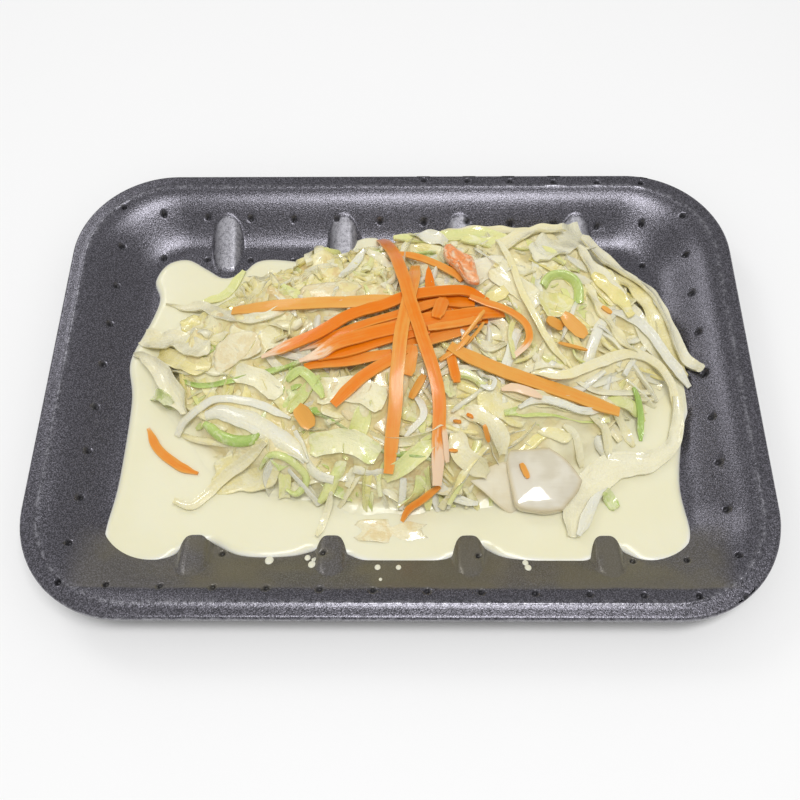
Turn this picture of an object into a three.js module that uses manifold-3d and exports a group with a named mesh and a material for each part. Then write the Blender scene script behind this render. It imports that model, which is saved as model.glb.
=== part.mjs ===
// A portion of coleslaw in a shallow foam tray, with its dressing and a garnish of carrot strips.
// Millimetres, +Z up, +X along the tray's long side; the origin is the middle of the tray's underside.
import * as THREE from 'three';
import { mergeVertices } from 'three/addons/utils/BufferGeometryUtils.js';
import Module from 'manifold-3d';

const wasm = await Module();
wasm.setup();

// ---------------------------------------------------------------- driving dimensions

// Foam tray.
const TRAY_LENGTH = 218;
const TRAY_WIDTH = 154;
const FOAM = 3; // thickness of the foam sheet, and height of the inner floor
const WALL_RISE = 11; // from the inner floor up to the rim
const WALL_RUN = 20.5; // how far the sloping wall reaches inwards
const RIM_WIDTH = 4.5;
const RIM_ROUND = 0.6;
const RIM_CORNER = 32; // corner radius at the outer edge
const CORNER_EASE = 0.72; // radius that a corner loses for each millimetre inwards
const UNDERSIDE_SHIFT = 1.2; // the wall's outer face lies this much further inwards
const STATIONS = 28; // steps round the tray
const WALL_STEPS = 5;

// Finger ribs, four along each long wall.
const RIB_PITCH = 40;
const RIB_COUNT = 4;
const RIB_CENTRE = 56; // from the tray's middle line
const RIB_HALF = { width: 5, length: 11, height: 2.2 };
const RIB_HEIGHT = 5.2; // height of a rib's centre
const RIB_TILT = THREE.MathUtils.degToRad(22);

// Perforations, on a square grid that follows floor and walls.
const PIT_PITCH = 15;
const PIT_COLUMNS = 14;
const PIT_ROWS = 10;
const PIT_SHIFT = -3.8; // the rows stand this much nearer to the front
const PIT_RADIUS = 1.15; // at the surface
const PIT_DEPTH = 1.2;
const PIT_CLEAR = 3; // how far the cutting cone stands above the surface
const RIM_PIT_FIRST = 7; // the first column of the short row on the back rim

// Contents.
const GAP = 0.3; // clearance between neighbouring pieces
const POOL_LEVEL = 5.3; // top of the dressing
const POOL_EDGE = 0.8; // roundness of its free edge
const HEAP_CENTRE = new THREE.Vector2(2, 4);
const HEAP_REACH = [79, 77, 58, 49, 50, 61, 76, 63, 50, 45, 50, 63]; // every 30 degrees from +X
const HEAP_PEAK = 19; // crown of the bare heap above its foot
const HEAP_FOOT = 2.4; // upright foot that stands in the dressing
const HEAP_LUMPS = [
  { x: 40, y: 30, long: 24, wide: 16, high: 6 },
  { x: -26, y: 22, long: 24, wide: 16, high: 2 },
  { x: 0, y: 8, long: 26, wide: 20, high: 3.5 },
];
const HEAP_TURNS = 32;
const HEAP_RINGS = [1, 0.96, 0.87, 0.74, 0.57, 0.38, 0.18];

const CABBAGE_THICK = 1.1;
const CARROT_THICK = 1.3;
const SHRED_SINK = 0.6; // how deep the shreds lie in the bare heap
const STRIP_CLEARANCE = 0.6; // how far the garnish stands off the bare heap
const LOOSE_SHREDS = 46;
const SHRED_SPREAD = 0.92; // share of the heap on which the middles of the loose shreds lie
const SHRED_OVERHANG = 4; // how far they may reach beyond the heap's foot
const SEED = 41;
const WELD = 1e-3; // vertices nearer than this are one

// Single pieces that lie apart from the garnish.
const SLIVER_THICK = 1.8; // the carrot sliver that stands half in the dressing
const CHUNK = { at: [21.5, 33.5], long: 8, wide: 3.8, turn: 2.05, thick: 2.6, wave: 0.6, sides: 9 };
const CORE_SLICE = { at: [40, -37], long: 15.5, wide: 9.5, turn: -0.15, thick: 3, wave: 0.9, sides: 14 };

// ---------------------------------------------------------------- small helpers

/** Volume inside a closed, indexed set of triangles; negative if they face inwards. */
function signedVolume(points, faces) {
  const [a, b, c] = [new THREE.Vector3(), new THREE.Vector3(), new THREE.Vector3()];
  let sum = 0;
  for (let i = 0; i < faces.length; i += 3) {
    a.fromArray(points, 3 * faces[i]);
    b.fromArray(points, 3 * faces[i + 1]);
    c.fromArray(points, 3 * faces[i + 2]);
    sum += a.dot(b.cross(c)) / 6;
  }
  return sum;
}

/** The solid that a closed three.js geometry bounds. */
function solid(geometry) {
  const bare = geometry.clone();
  bare.deleteAttribute('normal');
  bare.deleteAttribute('uv');
  const merged = mergeVertices(bare, WELD);
  const points = merged.attributes.position.array;
  const faces = [];
  for (let i = 0; i < merged.index.count; i += 3) {
    const [a, b, c] = merged.index.array.slice(i, i + 3);
    if (a !== b && b !== c && c !== a) faces.push(a, b, c);
  }
  if (signedVolume(points, faces) < 0) faces.reverse();
  const mesh = new wasm.Mesh({
    numProp: 3,
    vertProperties: new Float32Array(points),
    triVerts: new Uint32Array(faces),
  });
  return new wasm.Manifold(mesh);
}

/** The faces of the largest shell joined edge to edge: sealed hollows are filled and scraps dropped. */
function outerShell(faces) {
  const count = faces.length / 3;
  const parent = Array.from({ length: count }, (_, i) => i);
  const rootOf = (i) => {
    let at = i;
    while (parent[at] !== at) at = parent[at];
    return at;
  };
  const atEdge = new Map();
  for (let face = 0; face < count; face += 1) {
    for (let side = 0; side < 3; side += 1) {
      const ends = [faces[3 * face + side], faces[3 * face + ((side + 1) % 3)]].sort((p, q) => p - q);
      const edge = ends.join('-');
      if (atEdge.has(edge)) parent[rootOf(face)] = rootOf(atEdge.get(edge));
      else atEdge.set(edge, face);
    }
  }
  const shells = new Map();
  for (let face = 0; face < count; face += 1) {
    const root = rootOf(face);
    if (!shells.has(root)) shells.set(root, []);
    shells.get(root).push(...faces.slice(3 * face, 3 * face + 3));
  }
  return [...shells.values()].sort((one, other) => other.length - one.length)[0];
}

/** The geometry of a solid's outer shell. */
function shellOf(body) {
  const { vertProperties, triVerts } = body.getMesh();
  const geometry = new THREE.BufferGeometry();
  geometry.setAttribute('position', new THREE.BufferAttribute(vertProperties, 3));
  geometry.setIndex(outerShell(triVerts));
  return geometry;
}

/** A named mesh of a solid, welded and cleared of hollows, with its own material. */
function named(name, body, finish) {
  const geometry = shellOf(solid(shellOf(body)));
  geometry.computeVertexNormals();
  const mesh = new THREE.Mesh(geometry, new THREE.MeshStandardMaterial(finish));
  mesh.name = name;
  return mesh;
}

/** Moves every vertex of a geometry to where `place` puts it. */
function remap(geometry, place) {
  const at = geometry.attributes.position;
  const point = new THREE.Vector3();
  for (let i = 0; i < at.count; i += 1) {
    place(point.fromBufferAttribute(at, i));
    at.setXYZ(i, point.x, point.y, point.z);
  }
  return geometry;
}

/** All solids joined into one. */
function joined(bodies) {
  return bodies.reduce((whole, body) => whole.add(body));
}

/** True where two solids share some space. */
function crosses(one, other) {
  return !one.intersect(other).isEmpty();
}

// ---------------------------------------------------------------- tray

/** Height of the tray's inner face, this far inwards from its outer edge. */
function innerHeight(inset) {
  const down = THREE.MathUtils.smoothstep(inset, RIM_WIDTH, RIM_WIDTH + WALL_RUN);
  return FOAM + WALL_RISE * (1 - down);
}

/** Radius of the rounded corners, this far inwards from the outer edge. */
function cornerRadius(inset) {
  return Math.max(RIM_CORNER - CORNER_EASE * inset, 1);
}

/** How far a point in plan lies inwards from the tray's outer edge. */
function insetAt(x, y) {
  let [near, far] = [0, TRAY_WIDTH / 2];
  for (let step = 0; step < 18; step += 1) {
    const inset = (near + far) / 2;
    const radius = cornerRadius(inset);
    const beyond = new THREE.Vector2(
      Math.max(Math.abs(x) - (TRAY_LENGTH / 2 - inset - radius), 0),
      Math.max(Math.abs(y) - (TRAY_WIDTH / 2 - inset - radius), 0),
    );
    if (beyond.length() < radius) near = inset;
    else far = inset;
  }
  return near;
}

/** The tray's section as inset and height, from the middle of its underside round to its inner floor. */
function traySection() {
  const half = TRAY_WIDTH / 2;
  const section = [new THREE.Vector2(half, 0)];
  for (let step = WALL_STEPS; step >= 0; step -= 1) {
    const inset = RIM_WIDTH + (WALL_RUN * step) / WALL_STEPS;
    section.push(new THREE.Vector2(inset + UNDERSIDE_SHIFT, innerHeight(inset) - FOAM));
  }
  section.push(new THREE.Vector2(RIM_ROUND, WALL_RISE));
  section.push(new THREE.Vector2(0, WALL_RISE + RIM_ROUND));
  section.push(new THREE.Vector2(0, WALL_RISE + FOAM - RIM_ROUND));
  section.push(new THREE.Vector2(RIM_ROUND, WALL_RISE + FOAM));
  for (let step = 0; step <= WALL_STEPS; step += 1) {
    const inset = RIM_WIDTH + (WALL_RUN * step) / WALL_STEPS;
    section.push(new THREE.Vector2(inset, innerHeight(inset)));
  }
  section.push(new THREE.Vector2(half, FOAM));
  return section;
}

/** The plain tray: its section swept round a rounded rectangle. */
function trayShell() {
  const half = TRAY_WIDTH / 2;
  const turned = traySection().map(({ x, y }) => new THREE.Vector2(half - x, y));
  const perCorner = STATIONS / 4;
  const lathe = new THREE.LatheGeometry(turned, STATIONS);
  return solid(remap(lathe, (point) => {
    const out = Math.hypot(point.x, point.z);
    const height = point.y;
    if (out < 1e-6) return point.set(0, 0, height);
    const turn = Math.atan2(point.x, point.z) / (2 * Math.PI);
    const station = (Math.round(turn * STATIONS) + STATIONS) % STATIONS;
    const corner = Math.floor(station / perCorner);
    const angle = (Math.PI / 2) * (corner + (station % perCorner) / (perCorner - 1));
    const inset = half - out;
    const radius = cornerRadius(inset);
    const toX = (TRAY_LENGTH / 2 - inset - radius) * (corner === 0 || corner === 3 ? 1 : -1);
    const toY = (TRAY_WIDTH / 2 - inset - radius) * (corner < 2 ? 1 : -1);
    return point.set(toX + radius * Math.cos(angle), toY + radius * Math.sin(angle), height);
  }));
}

/** The finger ribs that brace the long walls against the floor, grown on every side if asked. */
function fingerRibs(grow = 0) {
  const ribs = [];
  for (const side of [-1, 1]) {
    for (let rib = 0; rib < RIB_COUNT; rib += 1) {
      const finger = new THREE.SphereGeometry(1, 8, 5);
      finger.scale(RIB_HALF.width + grow, RIB_HALF.length + grow, RIB_HALF.height + grow);
      finger.rotateX(side * RIB_TILT);
      const along = (rib - (RIB_COUNT - 1) / 2) * RIB_PITCH;
      finger.translate(along, side * RIB_CENTRE, RIB_HEIGHT);
      ribs.push(solid(finger));
    }
  }
  return joined(ribs);
}

/** Where a point lies in plan, measured along the tray's inner face from its middle line. */
function alongFace(halfWidth, distance) {
  const step = 0.25;
  let [plan, travelled] = [0, 0];
  while (travelled < Math.abs(distance)) {
    const rise = innerHeight(halfWidth - plan - step) - innerHeight(halfWidth - plan);
    travelled += Math.hypot(step, rise);
    plan += step;
  }
  return Math.sign(distance) * plan;
}

/** Plan positions of the perforations that the contents leave bare. */
function pitPlaces(isCovered) {
  const places = [];
  for (let row = -1; row < PIT_ROWS; row += 1) {
    for (let column = 0; column < PIT_COLUMNS; column += 1) {
      const x = alongFace(TRAY_LENGTH / 2, (column - (PIT_COLUMNS - 1) / 2) * PIT_PITCH);
      const y = alongFace(TRAY_WIDTH / 2, ((PIT_ROWS - 1) / 2 - row) * PIT_PITCH + PIT_SHIFT);
      const onRim = row < 0;
      const onShortRow = column >= RIM_PIT_FIRST && column < PIT_COLUMNS - 1;
      if ((onRim && !onShortRow) || isCovered(x, y)) continue;
      places.push([x, y]);
    }
  }
  return places;
}

/** The perforations as pins to be taken out of the foam. */
function pitPins(isCovered) {
  return joined(pitPlaces(isCovered).map(([x, y]) => {
    const tall = PIT_DEPTH + PIT_CLEAR;
    const pin = new THREE.ConeGeometry((PIT_RADIUS * tall) / PIT_DEPTH, tall, 5);
    pin.rotateX(-Math.PI / 2);
    pin.translate(x, y, innerHeight(insetAt(x, y)) - PIT_DEPTH + tall / 2);
    return solid(pin);
  }));
}

// ---------------------------------------------------------------- bare heap and dressing

/** How far the bare heap reaches in the direction of `angle`. */
function heapReach(angle) {
  const count = HEAP_REACH.length;
  const place = THREE.MathUtils.euclideanModulo(angle / (2 * Math.PI), 1) * count;
  const first = Math.floor(place);
  const [a, b, c, d] = [-1, 0, 1, 2].map((step) => HEAP_REACH[(first + step + count) % count]);
  const t = place - first;
  const ease = b + 0.5 * t * (c - a + t * (2 * a - 5 * b + 4 * c - d + t * (3 * (b - c) + d - a)));
  return ease;
}

/** Height of the bare heap's top at a point in plan; -Infinity beside it. */
function heapTop(x, y, grow = 0) {
  const out = new THREE.Vector2(x, y).sub(HEAP_CENTRE);
  const share = out.length() / (heapReach(out.angle()) + grow);
  if (share > 1.0001) return -Infinity;
  const lumps = HEAP_LUMPS.reduce((sum, { x: cx, y: cy, long, wide, high }) => (
    sum + high * Math.exp(-(((x - cx) / long) ** 2) - ((y - cy) / wide) ** 2)
  ), 0);
  const dome = HEAP_PEAK * Math.max(1 - share ** 2.8, 0) ** 0.85;
  return FOAM + GAP + HEAP_FOOT + grow + dome + lumps * (1 - Math.min(share, 1) ** 4);
}

/** The bare heap, grown on every side if asked. */
function bareHeap(grow = 0) {
  const foot = FOAM + GAP - 4 * grow;
  const section = [new THREE.Vector2(0, 0), ...HEAP_RINGS.map((share) => new THREE.Vector2(share, 1))];
  section.splice(1, 0, new THREE.Vector2(1, 0));
  section.push(new THREE.Vector2(0, 1));
  const lathe = new THREE.LatheGeometry(section, HEAP_TURNS);
  return solid(remap(lathe, (point) => {
    const share = Math.hypot(point.x, point.z);
    const angle = Math.atan2(point.x, point.z);
    const reach = share * (heapReach(angle) + grow);
    const x = HEAP_CENTRE.x + reach * Math.cos(angle);
    const y = HEAP_CENTRE.y + reach * Math.sin(angle);
    return point.set(x, y, point.y < 0.5 ? foot : heapTop(x, y, grow));
  }));
}

/** Outline of the dressing: it floods the floor, dips round the ribs and stops short of the end walls. */
function poolOutline() {
  const shore = [
    [-80, 47], [-73, 49], [-66, 45], [-60, 41.5], [-54, 43.5], [-46, 49], [-20, 47], [40, 47], [72, 38],
    [84, 15], [91, -3], [87.5, -17], [84.7, -34], [85.5, -49], [81, -56], [71, -57.5], [61, -53], [53, -58],
    [32, -57], [21, -52], [13, -57.5], [-8, -58.2], [-20, -54], [-32, -56.5], [-46, -56.3], [-58.5, -51.2],
    [-67, -56.8], [-77, -58.6], [-84.5, -56], [-86.6, -48], [-85.3, -32], [-85.2, -6], [-87.4, 9],
    [-82.5, 25], [-81, 33], [-83.3, 40],
  ].map(([x, y]) => new THREE.Vector3(x, y, 0));
  const line = new THREE.CatmullRomCurve3(shore, true, 'catmullrom', 0.5);
  return line.getPoints(1.25 * shore.length).slice(0, -1).map(({ x, y }) => new THREE.Vector2(x, y));
}

/** True where the dressing or the heap hides the tray. */
function coverTest() {
  const shore = poolOutline();
  return (x, y) => {
    if (heapTop(x, y, 3) > 0) return true;
    let inside = false;
    shore.forEach((a, i) => {
      const b = shore[(i + 1) % shore.length];
      const straddles = a.y > y !== b.y > y;
      if (straddles && x < a.x + ((y - a.y) / (b.y - a.y)) * (b.x - a.x)) inside = !inside;
    });
    return inside;
  };
}

/** The space that the contents keep clear of: the plain tray, raised a little, and what lies under it. */
function trayClearance(shell) {
  const lowered = shell.translate(0, 0, GAP - FOAM / 2);
  return shell.translate(0, 0, GAP).add(lowered).add(fingerRibs(2 * GAP));
}

/** The dressing up to its level, cut round the bare heap and clear of the tray. */
function dressing(clearance) {
  const below = 0.4; // starts inside the foam, which is then taken away
  const pool = new THREE.ExtrudeGeometry(new THREE.Shape(poolOutline()), {
    depth: POOL_LEVEL - FOAM + below - 2 * POOL_EDGE,
    bevelThickness: POOL_EDGE,
    bevelSize: POOL_EDGE,
    bevelOffset: -POOL_EDGE,
    bevelSegments: 1,
  });
  pool.translate(0, 0, FOAM - below + POOL_EDGE);
  return solid(pool).subtract(clearance).subtract(bareHeap(GAP));
}

// ---------------------------------------------------------------- strips and leaves

/**
 * Height on which a piece rests in plan: on the heap, `sink` deep in it, or clear of dressing and tray.
 * `half` is how far the piece reaches on towards the tray's wall.
 */
function restHeight(x, y, sink, half = 0) {
  return Math.max(heapTop(x, y) - sink, POOL_LEVEL + GAP, innerHeight(insetAt(x, y) - half) + GAP);
}

/**
 * A flat strip laid along points in plan. `sink` is how deep it lies in the heap, `lift` raises it,
 * `roll` turns it about its own line, `wave` makes it rise and fall, and `tip` is its width at the ends
 * as a share of `wide`.
 */
function strip({ along, wide, thick, sink, lift = 0, roll = 0, wave = 0, tip = 0.55, steps = 6 }) {
  const plan = new THREE.CatmullRomCurve3(along.map(([x, y]) => new THREE.Vector3(x, y, 0)));
  const pointAt = (share) => {
    const point = plan.getPoint(THREE.MathUtils.clamp(share, 0, 1));
    const rise = wave * Math.sin(2 * Math.PI * share * Math.max(1, steps / 4));
    const rest = restHeight(point.x, point.y, sink, wide / 2);
    return point.setZ(rest + lift + thick / 2 + Math.max(rise, 0));
  };
  const box = new THREE.BoxGeometry(1, 1, 1, steps, 1, 1);
  return solid(remap(box, (point) => {
    const share = point.x + 0.5;
    const ahead = pointAt(share + 0.04).sub(pointAt(share - 0.04)).normalize();
    const side = new THREE.Vector3(0, 0, 1).cross(ahead).normalize().applyAxisAngle(ahead, roll);
    const up = ahead.clone().cross(side);
    const narrow = share < 1e-6 || share > 1 - 1e-6 ? tip : 1;
    return point.copy(pointAt(share)
      .addScaledVector(side, point.y * wide * narrow)
      .addScaledVector(up, point.z * thick));
  }));
}

/** A wavy slice: an oval disc whose rim rises and falls, lying over a point in plan; `grow` fattens it. */
function slice(form, grow = 0) {
  const { at: [x, y], long, wide, thick, sink, turn = 0, lift = 0, wave = 1.5, sides = 12 } = form;
  const disc = new THREE.CylinderGeometry(1, 1, 1, sides, 1);
  return solid(remap(disc, (point) => {
    const angle = Math.atan2(point.z, point.x);
    const out = Math.hypot(point.x, point.z);
    const plan = new THREE.Vector2(point.x * (long + grow), point.z * (wide + grow));
    plan.rotateAround(new THREE.Vector2(), turn);
    const ripple = wave * out * (1 + Math.sin(3 * angle + x));
    const rest = restHeight(x + plan.x, y + plan.y, sink);
    const height = rest - grow + lift + ripple + (point.y + 0.5) * (thick + 2 * grow);
    return point.set(x + plan.x, y + plan.y, height);
  }));
}

// ---------------------------------------------------------------- carrot garnish

/** The carrot strips of the garnish; each is laid on the bare heap, the later ones across the earlier. */
const CARROT_STRIPS = [
  { along: [[-53, 23], [-32, 19], [-17, 17], [4, 16]], wide: 3.7 },
  { along: [[-13, 14], [0, 13], [12, 11]], wide: 4.2 },
  { along: [[-30, -3], [-14, -2], [-2, 3], [8, 6]], wide: 3.6 },
  { along: [[-32, 0], [-18, 3], [-6, 7], [6, 10]], wide: 4.6, lift: 0.9 },
  { along: [[-43, 1], [-28, 7], [-13, 12], [0, 16], [14, 20], [26, 18]], wide: 4, lift: 0.6 },
  { along: [[-19, -17], [-12, -10], [-4, -2], [4, 5]], wide: 3.5 },
  { along: [[2, 6], [14, 8], [30, 13]], wide: 3 },
  { along: [[6, 12], [18, 15], [30, 15], [37, 12], [39, 6], [34, -1]], wide: 2.2, steps: 6 },
  { along: [[25, 11], [16, 4], [6, 2]], wide: 2.3 },
  { along: [[26, 7], [15, 2], [4, 3]], wide: 2.4, lift: 0.5 },
  { along: [[15, 8], [17, -9]], wide: 2.4 },
  { along: [[6, 9], [4, -7]], wide: 4.1 },
  { along: [[10, -4], [3, -16]], wide: 2.1 },
  { along: [[12, 6], [30, -6], [44, -10], [57, -12], [68, -13]], wide: 4.6, lift: 0.4, tip: 0.5 },
  { along: [[20, 24], [14, 21], [8, 15]], wide: 3.1 },
  { along: [[9, 34], [10, 20]], wide: 2.8, tip: 0.3 },
  { along: [[-1, 42], [4, 39], [10, 34], [14, 27], [15, 19]], wide: 2.4 },
  { along: [[5, 35], [4, 21], [1, 10], [0, 0], [-2, -22], [-3, -36]], wide: 3.8, lift: 1.4, steps: 7 },
  { along: [[-7, 46], [-1, 29], [5, 11], [10, 0], [11, -20], [10, -37]], wide: 3.9, lift: 2.2, steps: 7 },
];
const CARROT_BED = { x: 4, y: 8, long: 15, wide: 9, high: 2.6 }; // where the strips lie stacked

/** The crossed carrot strips as one piece; `grow` fattens every strip. */
function carrotGarnish(grow = 0) {
  const bed = new THREE.SphereGeometry(1, 12, 6);
  remap(bed, (point) => {
    const x = CARROT_BED.x + point.x * (CARROT_BED.long + grow);
    const y = CARROT_BED.y + point.y * (CARROT_BED.wide + grow);
    const rest = restHeight(x, y, -GAP);
    return point.set(x, y, rest - grow + (point.z + 0.6) * (CARROT_BED.high / 2 + grow));
  });
  const strips = CARROT_STRIPS.map(({ along, wide, lift = 0, tip = 0.7, steps }) => strip({
    along,
    wide: wide + 2 * grow,
    thick: CARROT_THICK + 2 * grow,
    sink: -STRIP_CLEARANCE,
    lift: lift - grow,
    tip,
    steps: steps ?? along.length,
  }));
  return joined([solid(bed), ...strips]).subtract(bareHeap(GAP));
}

// ---------------------------------------------------------------- single pieces

/** The curved carrot sliver that stands half in the dressing, clear of the heap. */
function carrotSliver(grow = 0) {
  return strip({
    along: [[-78.5, -15], [-75, -22], [-69, -27.5], [-61, -31]],
    wide: 2.8 + 2 * grow,
    thick: SLIVER_THICK + 2 * grow,
    sink: 0,
    lift: -GAP - SLIVER_THICK / 2 - grow,
    tip: 0.5,
    steps: 5,
  });
}

/** The rough lump of carrot at the back edge of the garnish. */
function carrotChunk(grow = 0) {
  return slice({ ...CHUNK, sink: -GAP }, grow).subtract(bareHeap(GAP));
}

/** The thick translucent slice of cabbage core at the front. */
function coreSlice(grow = 0) {
  return slice({ ...CORE_SLICE, sink: -GAP }, grow).subtract(bareHeap(GAP));
}

// ---------------------------------------------------------------- slaw

/** The long ribbons and shreds that lie plainly to be seen. */
const RIBBONS = [
  { along: [[44, -2], [52, -3], [60, -1], [69, 3], [76, 5]], wide: 3.4, steps: 5 },
  {
    along: [[67, -2], [75, 2], [82, -2], [84, -12], [78, -25], [69, -30], [61, -38], [57, -50]],
    wide: 5.5,
    steps: 11,
  },
  { along: [[71, -31], [66, -40], [62, -50]], wide: 3, steps: 4 },
  { along: [[56, 46], [67, 38], [79, 24], [88, 13], [96, 5]], wide: 5.5, tip: 0.9 },
  { along: [[28, -18], [42, -17], [58, -17]], wide: 4.4 },
  { along: [[15, -20], [19, -24], [20.5, -29], [18, -36]], wide: 4.4 },
  { along: [[27, -23], [35, -22], [43, -22]], wide: 2.6, steps: 4 },
  { along: [[3, -28], [6, -24], [6.5, -18]], wide: 2, steps: 4 },
  { along: [[1, -34], [8, -28]], wide: 4, steps: 3 },
  { along: [[-68, -20], [-65, -14], [-58, -11], [-46, -13], [-36, -17]], wide: 3, steps: 7 },
  { along: [[-58, -15], [-46, -18], [-36, -24], [-28, -28], [-20, -37]], wide: 5.2, steps: 7 },
  { along: [[-59, -18], [-52, -23], [-43, -23]], wide: 2.4, steps: 4 },
  { along: [[-68, -40], [-59, -40], [-51, -33], [-42, -28], [-34, -25]], wide: 3.6, steps: 7 },
  { along: [[37, 25], [44, 14], [50, 5], [54, -3]], wide: 2.4, lift: 0.4 },
  { along: [[45, 29], [52, 28], [56, 20]], wide: 3.4, steps: 4 },
  { along: [[74, -4], [75, -13], [74, -22]], wide: 2.4, steps: 4 },
  { along: [[14, 46], [26, 50], [40, 52], [54, 52]], wide: 5, lift: 1 },
  { along: [[0, 52], [5, 47], [11, 42]], wide: 3.6, steps: 4 },
  { along: [[-64, 25], [-55, 29], [-46, 34]], wide: 3.4, steps: 4 },
  { along: [[-34, -33], [-29, -36], [-30, -41]], wide: 2.6, steps: 4 },
  { along: [[-43, 30], [-38, 42], [-27, 47]], wide: 3.6, steps: 5 },
  { along: [[60, 18], [66, 24], [63, 36]], wide: 4, steps: 5 },
];

/** The leaf pieces that lie plainly to be seen. */
const LEAVES = [
  { at: [-74, 10], long: 11, wide: 7.5, turn: 0.3, wave: 0.5 },
  { at: [-68, 0], long: 7, wide: 5, turn: 1.1, wave: 1 },
  { at: [52, 44], long: 13, wide: 7, turn: 0.5, lift: 0.5, wave: 1.6 },
  { at: [62, -22], long: 8, wide: 5, turn: 0.7, wave: 1 },
  { at: [76, 17], long: 10, wide: 8, turn: -0.9, wave: 1.3 },
  { at: [-22, 36], long: 12, wide: 7, turn: 0.1, wave: 1.4 },
  { at: [-54, 9], long: 9, wide: 6, turn: 2, wave: 1.5 },
  { at: [37, 35], long: 9, wide: 6, turn: 0.8, wave: 1.5 },
];

/** Loose shreds spread evenly over the heap, each with its own length, bow and lie. */
function looseShreds(isFree) {
  THREE.MathUtils.seededRandom(SEED);
  const between = (low, high) => low + (high - low) * THREE.MathUtils.seededRandom();
  const golden = Math.PI * (3 - Math.sqrt(5));
  const shreds = [];
  for (let count = 0; count < LOOSE_SHREDS; count += 1) {
    const angle = count * golden;
    const out = Math.sqrt((count + 0.5) / LOOSE_SHREDS) * heapReach(angle) * SHRED_SPREAD;
    const middle = new THREE.Vector2(Math.cos(angle), Math.sin(angle)).multiplyScalar(out).add(HEAP_CENTRE);
    const reach = between(8, 17);
    const [wide, bow, roll] = [between(2.2, 4.6), between(-5, 5), between(-0.5, 0.5)];
    let heading = between(0, Math.PI);
    for (let attempt = 0; attempt < 6; attempt += 1) {
      const ahead = new THREE.Vector2(Math.cos(heading), Math.sin(heading));
      const aside = new THREE.Vector2(-ahead.y, ahead.x);
      const along = [-1, -0.3, 0.4, 1].map((step, i) => {
        const bend = bow * (i === 0 || i === 3 ? -0.6 : 0.6);
        return middle.clone().addScaledVector(ahead, step * reach).addScaledVector(aside, bend).toArray();
      });
      const lie = { thick: CABBAGE_THICK, sink: SHRED_SINK, roll, wave: 1.6, steps: 4 };
      const shred = strip({ along, wide, ...lie });
      if (along.every(([x, y]) => heapTop(x, y, SHRED_OVERHANG) > 0) && isFree(shred)) {
        shreds.push(shred);
        break;
      }
      heading += Math.PI / 6;
    }
  }
  return shreds;
}

/** The heap of dressed cabbage: its bare core with ribbons, leaves and shreds fused on. */
function slaw(clearance, neighbours) {
  const isFree = (piece) => !neighbours.some((neighbour) => crosses(piece, neighbour));
  const lie = { thick: CABBAGE_THICK, sink: SHRED_SINK };
  const ribbons = RIBBONS.map((ribbon) => strip({ ...lie, ...ribbon }));
  const leaves = LEAVES.map((leaf) => slice({ ...lie, ...leaf }));
  const placed = [...ribbons, ...leaves].filter(isFree);
  const pieces = [...placed, ...looseShreds(isFree)];
  const core = bareHeap().subtract(clearance);
  return pieces.reduce((heap, piece) => (crosses(piece, heap) ? heap.add(piece) : heap), core);
}

// ---------------------------------------------------------------- assembly

const shell = trayShell().add(fingerRibs());
const tray = shell.subtract(pitPins(coverTest()));
const clearance = trayClearance(shell);
const pool = dressing(clearance).subtract(carrotSliver(GAP));
const apart = [carrotGarnish, carrotChunk, carrotSliver, coreSlice].map((piece) => piece(GAP));
const heap = slaw(clearance, [shell, pool, ...apart]);

const coleslaw = new THREE.Group();
coleslaw.add(
  named('tray', tray, { color: '#57555c', roughness: 0.55, metalness: 0 }),
  named('dressing', pool, { color: '#e9e5c6', roughness: 0.25, metalness: 0 }),
  named('slaw', heap, { color: '#e6e2b8', roughness: 0.35, metalness: 0 }),
  named('carrot_garnish', carrotGarnish(), { color: '#e88a2a', roughness: 0.4, metalness: 0 }),
  named('carrot_chunk', carrotChunk(), { color: '#e2711d', roughness: 0.5, metalness: 0 }),
  named('carrot_sliver', carrotSliver(), { color: '#e8842a', roughness: 0.4, metalness: 0 }),
  named('core_slice', coreSlice(), { color: '#dcdcc4', roughness: 0.3, metalness: 0 }),
);

export default coleslaw;
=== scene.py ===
"""Coleslaw in a shallow foam tray: looks of every piece, studio and camera.

Forms are worked out in millimetres in the model's own frame (+X along the tray, +Y to the back,
+Z up) and turned into metres when a piece is finished.
"""

import logging
import math
from dataclasses import dataclass, field
from enum import Enum
from typing import Callable, Iterable, Sequence, Union

import bmesh
import bpy
import numpy as np
from bmesh.types import BMesh
from bpy.types import Material, Mesh, Node, NodeSocket, Object
from mathutils import Matrix, Vector


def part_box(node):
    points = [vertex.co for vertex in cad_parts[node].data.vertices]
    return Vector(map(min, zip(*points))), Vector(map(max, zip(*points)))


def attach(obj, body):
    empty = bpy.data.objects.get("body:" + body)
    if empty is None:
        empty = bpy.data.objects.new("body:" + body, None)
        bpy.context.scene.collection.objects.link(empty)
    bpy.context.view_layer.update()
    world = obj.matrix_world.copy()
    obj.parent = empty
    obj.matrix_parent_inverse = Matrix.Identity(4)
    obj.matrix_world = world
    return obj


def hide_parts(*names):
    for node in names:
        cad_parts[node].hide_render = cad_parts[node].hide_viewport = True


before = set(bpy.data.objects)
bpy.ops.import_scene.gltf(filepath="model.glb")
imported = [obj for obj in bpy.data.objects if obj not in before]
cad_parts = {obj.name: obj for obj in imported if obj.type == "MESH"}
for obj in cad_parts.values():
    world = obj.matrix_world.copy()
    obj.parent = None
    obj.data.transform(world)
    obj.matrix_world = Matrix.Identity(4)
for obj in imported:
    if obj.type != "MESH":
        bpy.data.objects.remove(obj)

LOG = logging.getLogger("coleslaw")
MM = 0.001
BODY = "root"
SEED = 7
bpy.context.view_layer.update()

Array = np.ndarray
Points = Sequence[Sequence[float]]
Colour = tuple[float, float, float]


# ---------------- numbers


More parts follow.
